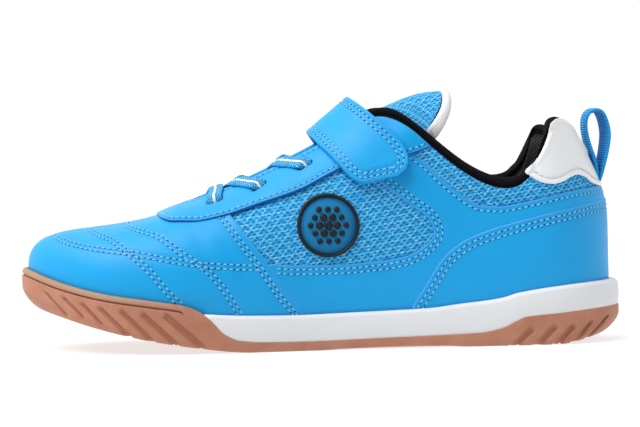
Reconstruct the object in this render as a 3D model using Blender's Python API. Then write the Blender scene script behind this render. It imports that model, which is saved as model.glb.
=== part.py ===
"""Indoor court shoe for the left foot, child's size, standing empty on its sole.

x runs from the toe (negative) to the heel (positive), the lateral side is at
negative y, z is up and the floor is at zero. Sizes are in millimetres.
"""

import math
from collections import namedtuple

import bmesh
import bpy
import numpy as np
from mathutils import Vector
from mathutils.bvhtree import BVHTree

for old in list(bpy.data.objects):
    bpy.data.objects.remove(old, do_unlink=True)

# Driving sizes.
LENGTH = 239.0
BALL_WIDTH = 84.4
INSTEP = 89.0
MM = 0.001

# The tables are drawn for the sample size and stretched to the driving sizes.
SAMPLE = (239.0, 84.4, 89.0)
STRETCH = np.array([LENGTH, BALL_WIDTH, INSTEP]) / np.array(SAMPLE)

# Clearance between neighbouring pieces, and walls.
GAP = 0.3
WELD = 0.04
WALL = 1.8
COLLAR_PAD = 2.6
FEATHER_INSET = [(-120, 4.6), (70, 4.6), (108, 5.2), (120, 5.3)]
FEATHER_GAP = 0.4
FLOOR = 2.2
CUP_WALL_LOW = 4.0
CUP_WALL_TOP = 2.2

# Outline of the sole in plan, from the back of the heel to the tip of the toe.
Station = namedtuple("Station", "name x lateral medial")
OUTLINE = [
    Station("heel back", 119.5, 0.0, 0.0),
    Station("heel corner", 110.0, -20.0, 20.0),
    Station("heel side", 90.0, -29.8, 29.5),
    Station("seat", 62.0, -31.3, 29.5),
    Station("waist", 32.0, -32.2, 27.5),
    Station("shank", 2.0, -34.8, 28.5),
    Station("ball rear", -28.0, -39.2, 35.5),
    Station("ball", -57.0, -42.1, 41.0),
    Station("toe side", -85.0, -36.5, 40.9),
    Station("toe corner", -107.5, -19.5, 28.5),
    Station("toe tip", -119.5, 5.0, 5.0),
]
HALF = len(OUTLINE) - 1
TURN = 2 * HALF

# Heights along the shoe, as (x, z): underside, top of the gum wall, top of the midsole.
UNDERSIDE = [
    (-120, 20.0), (-112, 16.4), (-104, 13.9), (-92.5, 10.6), (-81, 7.7), (-69.5, 5.2), (-58, 3.2),
    (-46.5, 1.5), (-36, 0.3), (-30, 0.0), (-4, 0.0), (8, 0.4), (28, 0.6), (46, 0.5), (56, 0.0),
    (92, 0.0), (97, 0.6), (104, 2.0), (110, 3.4), (115, 5.3), (120, 8.0),
]
GUM_TOP = [
    (-120, 33.0), (-104, 27.4), (-88, 23.6), (-69, 20.8), (-57, 18.9), (-50, 16.2), (-45.5, 12.4),
    (-41, 7.6), (-35, 4.8), (-25, 3.9), (-11, 3.7), (28, 4.4), (48, 4.9), (60, 5.4), (69, 7.2),
    (74, 9.6), (78, 11.2), (92, 12.4), (105, 13.5), (120, 14.5),
]
MIDSOLE_TOP = [
    (-120, 30.8), (-104, 25.4), (-88, 21.6), (-69, 18.4), (-48, 15.4), (-30, 14.3), (-11, 14.0),
    (9, 14.4), (40, 15.4), (52, 16.8), (68, 18.7), (76, 20.8), (92, 22.9), (106, 24.0), (120, 24.5),
]

# How far the tread edge lies inside the outline: rounder at the toe and at the heel.
TREAD_INSET = [
    (-120, 6.4), (-108, 5.4), (-92, 3.4), (-70, 2.4), (80, 2.2), (100, 3.0), (112, 4.4), (120, 4.8),
]

# The lip that runs round the toe above a groove, and where it fades out.
LIP_BAND = 2.2
LIP_GROOVE = 0.9
LIP_FADE = (-57.0, -51.0)

# Slanted flutes in the gum wall: their middles along the shoe, slant, width and depth.
TOE_FLUTES = (-104.5, -98.0, -90.8, -83.2, -74.4, -65.4, -56.6)
HEEL_FLUTES = (77.5, 86.0, 94.0, 101.5, 108.5)
FLUTE_SLANT = 45.0
FLUTE_WIDTH = 4.2
FLUTE_DEPTH = 1.0

# Tread grooves that part the lugs.
TREAD_FORE = (-80.0, -62.0, -44.0, -26.0, -8.0)
TREAD_HEEL = (58.0, 74.0, 90.0)
TREAD_WIDTH = 2.4
TREAD_DEPTH = 1.1
TREAD_CHEVRON = 7.0

# Ribs of the upper, one per outline station: the point where the rib ends at the collar or the
# throat (x, half width about a centre line, height on each side), how it arrives there (heading in
# plan from straight back, rise above level, length of the pull), how far it climbs from the sole and
# how many degrees it leans out there.
Rib = namedtuple("Rib", "name x half centre z_lateral z_medial heading rise pull climb lean")
RIBS = [
    Rib("heel back", 104.6, 0.0, 0.0, 77.6, 77.6, 180, 66, 28, 40, -1),
    Rib("heel corner", 92.8, 21.1, 0.0, 87.0, 84.6, 125, 78, 22, 26, 1),
    Rib("heel side", 79.2, 25.4, 0.0, 64.8, 64.8, 95, 86, 15, 19, 3),
    Rib("seat", 53.8, 24.1, 0.0, 69.3, 69.3, 92, 84, 16, 20, 3),
    Rib("waist", 27.6, 17.5, 0.2, 90.0, 90.0, 90, 68, 22, 36, 3),
    Rib("shank", 8.0, 11.2, 0.4, 83.4, 83.6, 87, 40, 20, 32, 3),
    Rib("ball rear", -11.0, 9.8, 0.6, 73.0, 73.2, 80, 31, 22, 27, 3),
    Rib("ball", -29.5, 8.6, 0.9, 64.4, 64.6, 70, 26, 24, 23, 4),
    Rib("toe side", -43.0, 6.4, 1.2, 59.3, 59.5, 48, 22, 28, 22.5, 7),
    Rib("toe corner", -49.3, 3.6, 1.4, 57.1, 57.2, 22, 24, 35, 24.5, 10),
    Rib("toe tip", -51.0, 0.0, 1.5, 56.5, 56.5, 0, 26, 36, 26, 12),
]
RIB_RINGS = (0.0, 0.13, 0.25, 0.37, 0.50, 0.66, 0.83, 1.0)

# Panels sewn onto the upper: how far each stands off the shell.
VAMP_LIFT = 1.2
QUARTER_LIFT = 1.2
COUNTER_LIFT = 1.5
EYESTAY_LIFT = 1.7
TAB_LIFT = 1.4

# Edges of the panels seen from the side, as (x, z).
VAMP_EDGE = [(-8.4, 9.0), (-9.2, 14.0), (-16.9, 24.7), (-22.6, 33.4), (-30.0, 43.5), (-37.6, 54.0)]
EYESTAY_EDGE = [
    (-65.4, 56.0), (-65.0, 53.6), (-63.0, 52.0), (-58.5, 51.0), (-50.7, 51.3), (-40.9, 53.1), (-25.2, 57.9),
    (-9.5, 62.9), (2.3, 68.8), (8.2, 71.5), (18.0, 73.4), (30.6, 75.0), (43.4, 79.1),
]
WINDOW_EDGE = [
    (-22.0, 34.0), (-10.9, 33.2), (4.8, 33.2), (20.5, 34.4), (30.5, 36.1), (37.3, 39.5), (41.4, 44.8),
    (39.9, 49.1), (33.0, 55.1), (23.4, 63.1), (13.0, 71.9),
]
COLLAR_EDGE = [
    (35.0, 75.6), (39.1, 72.6), (47.1, 65.0), (56.7, 57.4), (61.4, 55.2), (68.5, 54.7), (80.6, 56.6),
    (97.5, 60.1), (114.0, 62.2), (125.0, 63.8),
]
COUNTER_EDGE = [
    (31.0, 8.0), (32.2, 14.5), (38.1, 24.6), (44.2, 34.3), (48.9, 38.9), (56.2, 43.0), (68.2, 46.7),
    (88.6, 51.7), (115.2, 56.9), (130.0, 59.6),
]
TAB_EDGE = [
    (90.7, 94.0), (88.7, 82.4), (87.3, 77.3), (84.9, 72.6), (80.4, 68.0), (85.3, 64.3), (90.2, 63.2),
    (94.9, 64.1), (100.3, 66.3), (103.7, 65.6), (107.6, 63.6), (111.0, 63.2), (125.0, 65.4),
]
PANEL_GAP = 0.45

# Collar binding: height of the roll at each outline station, and where it starts.
BINDING_HEIGHT = [2.2, 2.6, 3.4, 3.6, 3.6, 2.4]
BINDING_START = 4.7
BINDING_SIDES = 6
BINDING_GAP = 0.78

# Tongue: middle of its top face, half width, drop at the sides and thickness.
Row = namedtuple("Row", "x z half drop thick")
TONGUE = [
    Row(-57.0, 52.0, 11.0, 3.0, 2.4),
    Row(-43.0, 55.8, 14.0, 5.0, 3.0),
    Row(-27.0, 62.1, 15.5, 7.0, 3.5),
    Row(-10.0, 70.8, 16.5, 10.0, 4.0),
    Row(8.0, 84.4, 16.0, 14.0, 4.4),
    Row(25.0, 94.2, 14.6, 15.5, 4.4),
    Row(38.0, 99.4, 14.6, 14.5, 4.4),
    Row(47.4, 100.6, 16.0, 14.5, 4.4),
]
TONGUE_ROUND = 0.11
TONGUE_STEPS = 14
TONGUE_ACROSS = 8
EDGE_WIDTH = 3.2
EDGE_THICK = 5.2

# Strap: its front and rear edges from the lateral end to the ridge, as x, z and distance off the middle.
StrapRow = namedtuple("StrapRow", "front_x front_z rear_x rear_z front_out rear_out")
STRAP = [
    StrapRow(17.5, 62.8, 26.5, 63.2, 27.5, 28.0),
    StrapRow(12.4, 64.8, 31.2, 67.6, 26.8, 28.0),
    StrapRow(9.4, 67.4, 33.6, 73.4, 25.5, 27.0),
    StrapRow(5.0, 72.2, 31.2, 79.6, 21.0, 24.0),
    StrapRow(0.2, 77.5, 25.2, 86.0, 14.6, 19.4),
    StrapRow(-3.4, 82.2, 16.0, 94.2, 7.6, 10.6),
    StrapRow(-4.6, 84.2, 10.8, 99.2, 0.0, 0.0),
]
STRAP_THICK = 2.2
STRAP_CLEAR = 2.5
STRAP_NEAR = 7.0
STRAP_STEPS = 24
STRAP_ACROSS = 3

# Lace: eyelets along the throat, as rib number, and the flat cord that crosses between them.
EYELETS = (7.55, 6.62, 5.72)
EYELET_DEPTH = 0.84
LACE_WIDTH = 4.8
LACE_THICK = 1.5
LACE_CLEAR = 3.1
LACE_ARCH = 1.0
LACE_STEPS = 6
LACE_SIDES = 6

# Pull loop: middle line of the webbing, from the base up the front and down the back.
LOOP_LINE = [
    (113.6, 65.0), (111.0, 69.8), (108.5, 75.8), (106.6, 82.0), (106.1, 87.0), (107.5, 90.4), (110.4, 91.9),
    (113.0, 90.9), (114.6, 87.6), (115.7, 82.9), (115.5, 77.7), (115.0, 70.4),
]
LOOP_THICK = 1.6
LOOP_WIDTH = 12.0
LOOP_STEPS = 2

# Badge: plain round plate with a raised ring, set in the mesh window on the lateral side.
BADGE_CENTRE = (0.8, 47.6)
BADGE_RADII = (0.0, 5.0, 10.4, 10.8, 11.9, 12.3)
BADGE_LIFTS = (1.2, 1.2, 1.2, 1.9, 1.9, 1.4)
BADGE_SIDES = 24
BADGE_BACK = 8.6
BADGE_GAP = 0.55

# Colours and finishes.
Finish = namedtuple("Finish", "colour roughness")
GUM = Finish((0.47, 0.22, 0.13), 0.55)
WHITE = Finish((0.80, 0.81, 0.83), 0.5)
BLUE = Finish((0.04, 0.40, 0.85), 0.5)
MESH = Finish((0.03, 0.26, 0.62), 0.8)
BLACK = Finish((0.015, 0.015, 0.017), 0.8)
GREY = Finish((0.05, 0.06, 0.08), 0.85)


def cubic_through(rows, closed=False):
    """A smooth curve through the rows, as a function of the row number."""
    points = np.asarray(rows, float)
    count = len(points)
    system = np.zeros((count, count))
    if closed:
        for i in range(count):
            system[i, i] = 4.0
            system[i, i - 1] += 1.0
            system[i, (i + 1) % count] += 1.0
        pull = 3.0 * (np.roll(points, -1, 0) - np.roll(points, 1, 0))
    else:
        for i in range(count):
            system[i, i] = 4.0 if 0 < i < count - 1 else 2.0
            if i > 0:
                system[i, i - 1] = 1.0
            if i < count - 1:
                system[i, i + 1] = 1.0
        before = np.vstack([points[:1], points[:-1]])
        after = np.vstack([points[1:], points[-1:]])
        pull = 3.0 * (after - before)
    slopes = np.linalg.solve(system, pull)

    def at(number):
        number = np.asarray(number, float)
        if closed:
            low = np.floor(number).astype(int)
            part = (number - low)[..., None]
            low = low % count
            high = (low + 1) % count
        else:
            low = np.clip(np.floor(number).astype(int), 0, count - 2)
            part = (number - low)[..., None]
            high = low + 1
        rest = 1.0 - part
        value = points[low] * (1.0 + 2.0 * part) * rest ** 2
        value = value + points[high] * part ** 2 * (3.0 - 2.0 * part)
        return value + slopes[low] * part * rest ** 2 - slopes[high] * part ** 2 * rest

    return at


def profile(rows, x_scale=1.0):
    """A line through (x, value) rows that never overshoots them."""
    table = np.array(rows, float)
    x = table[:, 0] * x_scale
    v = table[:, 1]
    step = np.diff(x)
    grade = np.diff(v) / step
    slope = np.zeros(len(x))
    slope[0] = grade[0]
    slope[-1] = grade[-1]
    for i in range(1, len(x) - 1):
        if grade[i - 1] * grade[i] > 0.0:
            slope[i] = 2.0 * grade[i - 1] * grade[i] / (grade[i - 1] + grade[i])

    def at(where):
        where = np.clip(np.asarray(where, float), x[0], x[-1])
        low = np.clip(np.searchsorted(x, where, side="right") - 1, 0, len(x) - 2)
        part = (where - x[low]) / step[low]
        rest = 1.0 - part
        value = v[low] * (1.0 + 2.0 * part) * rest ** 2 + v[low + 1] * part ** 2 * (3.0 - 2.0 * part)
        return value + step[low] * (slope[low] * part * rest ** 2 - slope[low + 1] * part ** 2 * rest)

    return at


def smooth_step(value):
    value = np.clip(value, 0.0, 1.0)
    return value * value * (3.0 - 2.0 * value)


underside = profile(UNDERSIDE, STRETCH[0])
gum_top = profile(GUM_TOP, STRETCH[0])
midsole_top = profile(MIDSOLE_TOP, STRETCH[0])
tread_inset = profile(TREAD_INSET, STRETCH[0])
feather_inset = profile(FEATHER_INSET, STRETCH[0])

outline_rows = [(row.x, row.lateral) for row in OUTLINE]
outline_rows += [(row.x, row.medial) for row in reversed(OUTLINE[1:-1])]
outline = cubic_through(np.array(outline_rows) * STRETCH[:2], closed=True)


def outward(q):
    """Unit normal of the outline in plan."""
    step = 1e-3
    along = outline(np.asarray(q) + step) - outline(np.asarray(q) - step)
    along = along / np.linalg.norm(along, axis=-1, keepdims=True)
    return np.stack([-along[..., 1], along[..., 0]], -1)


def inset(q, distance):
    return outline(q) - outward(q) * np.asarray(distance)[..., None]


# Materials and meshes.
def material(name, finish):
    shade = bpy.data.materials.new(name)
    shade.use_nodes = True
    shader = shade.node_tree.nodes["Principled BSDF"]
    shader.inputs["Base Color"].default_value = (*finish.colour, 1.0)
    shader.inputs["Roughness"].default_value = finish.roughness
    shader.inputs["Metallic"].default_value = 0.0
    return shade


def solid(name, points, faces, finish=None, smooth=True):
    """One closed mesh object; without a finish it is a cutter."""
    mesh = bpy.data.meshes.new(name)
    mesh.from_pydata([tuple(p) for p in np.asarray(points) * MM], [], faces)
    shape = bmesh.new()
    shape.from_mesh(mesh)
    bmesh.ops.remove_doubles(shape, verts=shape.verts, dist=1e-6)
    bmesh.ops.recalc_face_normals(shape, faces=shape.faces)
    shape.to_mesh(mesh)
    shape.free()
    piece = bpy.data.objects.new(name, mesh)
    bpy.context.scene.collection.objects.link(piece)
    if finish is None:
        piece.hide_render = True
        piece.display_type = "WIRE"
        return piece
    mesh.materials.append(material(name + "_finish", finish))
    if smooth:
        for face in mesh.polygons:
            face.use_smooth = True
    return piece


def cut(piece, tool, operation):
    step = piece.modifiers.new(operation.lower(), "BOOLEAN")
    step.operation = operation
    step.solver = "EXACT"
    step.object = tool


def welded(piece):
    """Joins points that a cut has left almost on top of each other."""
    step = piece.modifiers.new("weld", "WELD")
    step.merge_threshold = WELD * MM


def strips(rings, around, first=0):
    """Quads between rings of points that are closed around."""
    faces = []
    for k in range(rings - 1):
        for j in range(around):
            a = first + k * around + j
            b = first + k * around + (j + 1) % around
            faces.append((a, b, b + around, a + around))
    return faces


def ladder(around, first):
    """Faces that span a ring from its lateral to its medial half."""
    faces = []
    for j in range(around // 2):
        corners = [j, j + 1, around - j - 1, (around - j) % around]
        faces.append(tuple(first + c for c in dict.fromkeys(corners)))
    return faces


def stacked(name, rings, finish=None):
    """A solid of stacked perimeter rings with ladder ends."""
    rings = np.asarray(rings)
    count, around = rings.shape[:2]
    faces = strips(count, around)
    faces += ladder(around, 0)
    faces += ladder(around, (count - 1) * around)
    return solid(name, rings.reshape(-1, 3), faces, finish)


def tube(name, sections, finish=None):
    """A solid through closed sections with flat ends."""
    sections = np.asarray(sections)
    count, around = sections.shape[:2]
    faces = strips(count, around)
    faces.append(tuple(range(around)))
    faces.append(tuple((count - 1) * around + j for j in range(around)))
    return solid(name, sections.reshape(-1, 3), faces, finish)


def hoop(name, sections, finish=None):
    """A solid through closed sections that return to the first."""
    sections = np.asarray(sections)
    count, around = sections.shape[:2]
    faces = strips(count, around)
    last = (count - 1) * around
    for j in range(around):
        faces.append((last + j, last + (j + 1) % around, (j + 1) % around, j))
    return solid(name, sections.reshape(-1, 3), faces, finish)


def prism(name, corners, y_low, y_high):
    """A side view outline carried across the shoe, used as a cutter."""
    corners = np.array(corners, float) * STRETCH[[0, 2]]
    count = len(corners)
    points = []
    for y in (y_low, y_high):
        points += [(x, y, z) for x, z in corners]
    faces = strips(2, count)
    faces.append(tuple(range(count)))
    faces.append(tuple(range(count, 2 * count)))
    return solid(name, points, faces)


# Perimeter stations, closer together where the gum wall sweeps down behind the ball.
half = np.concatenate([np.arange(0.0, 6.1, 0.3), [6.2, 6.35, 6.5, 6.65, 6.8], np.arange(7.0, 9.9, 0.25)])
ring = np.concatenate([half, [HALF], TURN - half[:0:-1]])


def level(inset_by, height, stations=ring):
    """A ring of points inside the outline; the height is worked out from x."""
    plan = inset(stations, np.broadcast_to(inset_by, stations.shape))
    z = height(plan[:, 0])
    return np.column_stack([plan, z])


def cup_floor(x):
    return np.minimum(underside(x) + FLOOR, gum_top(x) - 0.8)


# Gum outsole: tread, rounded side, groove and lip at the toe, cup inside.
ring_x = outline(ring)[:, 0]
lip = 1.0 - smooth_step((ring_x - LIP_FADE[0]) / (LIP_FADE[1] - LIP_FADE[0]))
edge = tread_inset(ring_x)


def between(share):
    return lambda x: underside(x) + share * (gum_top(x) - underside(x))


def rounded(rise, share):
    """Height of the rounded side: so far above the tread, at most a share of the wall."""
    def height(x):
        wall = gum_top(x) - underside(x)
        return underside(x) + np.minimum(rise * tread_inset(x), share * wall)
    return height


def below_top(drop, share):
    """Height below the top of the wall at the toe, and a share of the low wall behind it."""
    def height(x):
        return lip * (gum_top(x) - drop) + (1.0 - lip) * between(share)(x)
    return height


outsole = stacked("outsole", [
    level(edge, underside),
    level(0.34 * edge, rounded(0.36, 0.24)),
    level(0.02 * edge, rounded(1.0, 0.52)),
    level(0.0, below_top(LIP_BAND + 1.2, 0.70)),
    level(LIP_GROOVE * lip, below_top(LIP_BAND + 0.4, 0.78)),
    level(0.3 * lip, below_top(LIP_BAND - 0.6, 0.9)),
    level(0.25 + 0.7 * lip, gum_top),
    level(CUP_WALL_TOP, gum_top),
    level(CUP_WALL_LOW, cup_floor),
], GUM)


def station_at(x):
    """Outline station at a distance along the lateral side of the shoe."""
    fine = np.linspace(0.0, HALF, 2001)
    along = outline(fine)[:, 0]
    return float(np.interp(-x * STRETCH[0], -along, fine))


def flute(x, side, slant, top_drop):
    """Corners of one slanted wedge that cuts the gum wall, the medial side facing the lateral."""
    q = station_at(x)
    if side > 0:
        q = TURN - q
    place = outline(q)
    normal = np.array([*outward(q), 0.0])
    back = np.array([-normal[1], normal[0], 0.0])
    if back[0] < 0.0:
        back = -back
    up = np.array([0.0, 0.0, 1.0])
    low = underside(place[0]) + 0.6
    high = gum_top(place[0]) - top_drop
    turn = math.radians(slant)
    axis = math.cos(turn) * back + math.sin(turn) * up
    across = math.sin(turn) * back - math.cos(turn) * up
    if slant < 0:
        across = -across
    reach = 0.5 * (high - low) / abs(math.sin(turn))
    middle = np.array([place[0], place[1], 0.5 * (low + high)])
    corners = [(-0.5, 0.0), (0.5, FLUTE_DEPTH), (0.5, -3.0), (-0.5, -3.0)]
    points = []
    for end in (-reach, reach):
        for share, depth in corners:
            points.append(middle + end * axis + share * FLUTE_WIDTH * across - depth * normal)
    return points


def tread_groove(x):
    """Corners of one chevron groove across the tread."""
    top = float(underside(x)) + TREAD_DEPTH
    points = []
    for z in (-3.0, top):
        for near in (-0.5, 0.5):
            shift = x + near * TREAD_WIDTH
            points += [(shift + TREAD_CHEVRON, -60.0, z), (shift, 0.0, z), (shift + TREAD_CHEVRON, 60.0, z)]
    return points


wedge_points = []
wedge_faces = []
box_faces = [(0, 1, 2, 3), (4, 5, 6, 7), (0, 1, 5, 4), (1, 2, 6, 5), (2, 3, 7, 6), (3, 0, 4, 7)]
for side in (-1, 1):
    for middle_x, slant, drop in (
        [(x, -FLUTE_SLANT, LIP_BAND + 1.6) for x in TOE_FLUTES] + [(x, FLUTE_SLANT, 1.6) for x in HEEL_FLUTES]
    ):
        start = len(wedge_points)
        wedge_points += flute(middle_x, side, slant, drop)
        wedge_faces += [tuple(start + i for i in face) for face in box_faces]
flutes = solid("flute_cutter", wedge_points, wedge_faces)
cut(outsole, flutes, "DIFFERENCE")

groove_points = []
groove_faces = []
chevron_faces = [
    (0, 1, 4, 3), (1, 2, 5, 4), (6, 7, 10, 9), (7, 8, 11, 10), (0, 1, 7, 6), (1, 2, 8, 7),
    (3, 4, 10, 9), (4, 5, 11, 10), (0, 3, 9, 6), (2, 5, 11, 8),
]
for groove_x in TREAD_FORE + TREAD_HEEL:
    start = len(groove_points)
    groove_points += tread_groove(groove_x * STRETCH[0])
    groove_faces += [tuple(start + i for i in face) for face in chevron_faces]
grooves = solid("tread_cutter", groove_points, groove_faces)
cut(outsole, grooves, "DIFFERENCE")
welded(outsole)

# White midsole: fills the cup and stands out over the gum wall along the side.
midsole = stacked("midsole", [
    level(0.1, lambda x: cup_floor(x) + GAP),
    level(0.1, lambda x: np.maximum(midsole_top(x) - 4.2, cup_floor(x) + 1.0)),
    level(0.7, lambda x: np.maximum(midsole_top(x) - 1.5, cup_floor(x) + 1.4)),
    level(2.1, midsole_top),
], WHITE)
cup_cutter = hoop("cup_cutter", np.stack([
    level(-3.0, lambda x: underside(x) - 4.0),
    level(CUP_WALL_LOW + GAP, lambda x: underside(x) - 4.0),
    level(CUP_WALL_LOW + GAP, lambda x: cup_floor(x)),
    level(CUP_WALL_TOP + GAP, lambda x: gum_top(x) + GAP),
    level(-3.0, lambda x: gum_top(x) + GAP),
], 1))
cut(midsole, cup_cutter, "DIFFERENCE")
welded(midsole)


# Upper: ribs from the feather edge on the midsole to the collar and the throat.
def rib_rows():
    tops = []
    pulls = []
    climbs = []
    leans = []
    order = [(rib, -1.0) for rib in RIBS] + [(rib, 1.0) for rib in reversed(RIBS[1:-1])]
    for rib, side in order:
        z = rib.z_lateral if side < 0 else rib.z_medial
        tops.append((rib.x * STRETCH[0], (rib.centre + side * rib.half) * STRETCH[1], z * STRETCH[2]))
        heading = math.radians(rib.heading)
        rise = math.radians(rib.rise)
        flat = rib.pull * math.cos(rise)
        pulls.append((flat * math.cos(heading), -side * flat * math.sin(heading), rib.pull * math.sin(rise)))
        climbs.append((rib.climb,))
        leans.append((math.radians(rib.lean),))
    return tops, pulls, climbs, leans


rib_tops, rib_pulls, rib_climbs, rib_leans = rib_rows()
top_at = cubic_through(rib_tops, closed=True)
pull_at = cubic_through(rib_pulls, closed=True)
climb_at = cubic_through(rib_climbs, closed=True)
lean_at = cubic_through(rib_leans, closed=True)


def shell(q, t):
    """Point of the upper's outer face: q round the shoe, t from the sole to the top."""
    q, t = np.broadcast_arrays(np.asarray(q, float), np.asarray(t, float))
    plan = inset(q, feather_inset(outline(q)[..., 0]))
    foot = np.concatenate([plan, (midsole_top(plan[..., 0]) + FEATHER_GAP)[..., None]], -1)
    lean = lean_at(q)
    rise = np.concatenate([outward(q) * np.sin(lean), np.cos(lean)], -1)
    first = foot + rise * climb_at(q)
    top = top_at(q)
    second = top - pull_at(q)
    t = t[..., None]
    u = 1.0 - t
    return foot * u ** 3 + 3.0 * first * t * u ** 2 + 3.0 * second * t ** 2 * u + top * t ** 3


def shell_normal(q, t):
    step = 1e-3
    q, t = np.broadcast_arrays(np.asarray(q, float), np.asarray(t, float))
    t = np.clip(t, step, 1.0 - step)
    normal = np.cross(shell(q, t + step) - shell(q, t - step), shell(q + step, t) - shell(q - step, t))
    normal = normal / np.linalg.norm(normal, axis=-1, keepdims=True)
    return normal


def lifted(q, t, lift):
    """Point off the upper's outer face; the feather edge stays on the midsole."""
    point = shell(q, t)
    moved = point + shell_normal(q, t) * np.asarray(lift)[..., None]
    on_midsole = midsole_top(moved[..., 0]) + FEATHER_GAP
    moved[..., 2] = np.where(np.asarray(t) <= 0.0, on_midsole, moved[..., 2])
    return moved


def wall_at(q, t):
    """Thickness of the upper: padded along the collar."""
    from_heel = np.minimum(q % TURN, TURN - q % TURN)
    collar = 1.0 - smooth_step((from_heel - 4.2) / 0.9)
    return WALL + COLLAR_PAD * collar * smooth_step((t - 0.55) / 0.4)


rib_half = np.concatenate([
    np.arange(0.0, 2.6, 0.3125), np.arange(2.85, 4.0, 0.35), [4.2, 4.45, 4.7], np.arange(5.0, 6.9, 0.4),
    np.arange(7.0, 9.9, 0.34),
])
rib_q = np.concatenate([rib_half, [HALF], TURN - rib_half[:0:-1]])
ring_t = np.array(RIB_RINGS)
grid_q, grid_t = np.meshgrid(rib_q, ring_t, indexing="ij")


def net_triangles(first):
    """Triangles of the rib grid, split the same way on every offset."""
    count, rings = grid_q.shape
    faces = []
    for i in range(count):
        for k in range(rings - 1):
            a = first + i * rings + k
            b = first + (i + 1) % count * rings + k
            faces += [(a, b + 1, b), (a, a + 1, b + 1)]
    return faces


def shell_between(name, low, high, finish=None):
    """A hollow solid round the shoe between two offsets of the upper's outer face."""
    count, rings = grid_q.shape
    far = count * rings
    points = []
    for lift in (low, high):
        points.append(lifted(grid_q, grid_t, np.broadcast_to(lift, grid_q.shape)).reshape(-1, 3))
    faces = net_triangles(0) + net_triangles(far)
    for i in range(count):
        for rim in (0, rings - 1):
            a = i * rings + rim
            b = (i + 1) % count * rings + rim
            faces += [(a, b, b + far), (a, b + far, a + far)]
    return solid(name, np.concatenate(points), faces, finish)


upper = shell_between("upper", -wall_at(grid_q, grid_t), 0.0, MESH)

# Panels, each cut from a shell that stands just off the upper.
FAR = 70.0


def moved(rows, dx, dz):
    return [(x + dx, z + dz) for x, z in rows]


vamp_rows = [(-140.0, 5.0)] + VAMP_EDGE[:-1] + [(-37.2, 53.4)]
vamp_rows += moved(EYESTAY_EDGE[5:0:-1], -0.1, -PANEL_GAP) + [(-66.0, 54.0), (-66.0, 64.0), (-140.0, 64.0)]
vamp = shell_between("vamp", GAP, VAMP_LIFT, BLUE)
cut(vamp, prism("vamp_cutter", vamp_rows, -FAR, FAR), "INTERSECT")

eyestay_rows = EYESTAY_EDGE + [(47.0, 84.0), (47.0, 110.0), (-70.0, 110.0), (-65.6, 58.0)]
eyestay = shell_between("eyestay", GAP, EYESTAY_LIFT, BLUE)
cut(eyestay, prism("eyestay_cutter", eyestay_rows, -FAR, FAR), "INTERSECT")

quarter_rows = moved(VAMP_EDGE[:4], PANEL_GAP, 0.1) + WINDOW_EDGE
quarter_rows += moved(EYESTAY_EDGE[10:12], 0.0, -PANEL_GAP) + COLLAR_EDGE
quarter_rows += moved(reversed(COUNTER_EDGE), -0.3, PANEL_GAP)
for side_name, y_low, y_high in (("lateral", -FAR, -0.2), ("medial", 0.2, FAR)):
    quarter = shell_between("quarter_" + side_name, GAP, QUARTER_LIFT, BLUE)
    cut(quarter, prism("quarter_cutter_" + side_name, quarter_rows, y_low, y_high), "INTERSECT")

counter_rows = COUNTER_EDGE + [(130.0, 5.0)]
counter = shell_between("heel_counter", GAP, COUNTER_LIFT, BLUE)
cut(counter, prism("counter_cutter", counter_rows, -FAR, FAR), "INTERSECT")

tab_rows = TAB_EDGE + [(125.0, 100.0), (90.7, 100.0)]
tab = shell_between("heel_tab", GAP, TAB_LIFT, WHITE)
cut(tab, prism("tab_cutter", tab_rows, -FAR, FAR), "INTERSECT")

# Collar binding: a roll that sits on the padded top of the upper.
binding_half = rib_half[rib_half <= BINDING_START]
binding_q = np.concatenate([-binding_half[:0:-1], binding_half])
binding_height = np.interp(np.abs(binding_q), np.arange(len(BINDING_HEIGHT)), BINDING_HEIGHT)
binding_top = shell(binding_q, 1.0)
binding_out = shell_normal(binding_q, 1.0)
binding_up = pull_at(binding_q)
binding_up = binding_up - binding_out * np.sum(binding_up * binding_out, 1)[:, None]
binding_up = binding_up / np.linalg.norm(binding_up, axis=1)[:, None]
binding_wall = wall_at(binding_q, np.ones(len(binding_q)))
binding_middle = binding_top - binding_out * (0.5 * binding_wall - 0.2)[:, None]
binding_middle = binding_middle + binding_up * (BINDING_GAP + 0.5 * binding_height)[:, None]
binding_sections = []
for k in range(len(binding_q)):
    section = []
    for j in range(BINDING_SIDES):
        angle = 2.0 * math.pi * (j + 0.5) / BINDING_SIDES
        reach = binding_out[k] * (0.5 * binding_wall[k] + 0.6) * math.cos(angle)
        rise = binding_up[k] * 0.5 * binding_height[k] * math.sin(angle)
        section.append(binding_middle[k] + reach + rise)
    binding_sections.append(section)
tube("collar_binding", binding_sections, BLACK)

# Insole on the midsole, inside the wall of the upper.
insole_ring = np.concatenate([half[::2], [HALF], TURN - half[::2][:0:-1]])
insole_edge = feather_inset(outline(insole_ring)[:, 0]) + WALL + 0.5
stacked("insole", [
    level(insole_edge, lambda x: midsole_top(x) + FEATHER_GAP + 0.1, insole_ring),
    level(insole_edge, lambda x: midsole_top(x) + 2.4, insole_ring),
    level(insole_edge + 1.2, lambda x: midsole_top(x) + 3.4, insole_ring),
], GREY)

# Tongue: an arched pad that runs under the throat and stands out over the collar.
tongue_table = [(row.x * STRETCH[0], row.z * STRETCH[2], row.half, row.drop, row.thick) for row in TONGUE]
tongue_line = cubic_through(tongue_table)
TONGUE_END = len(TONGUE) - 1.0


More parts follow.
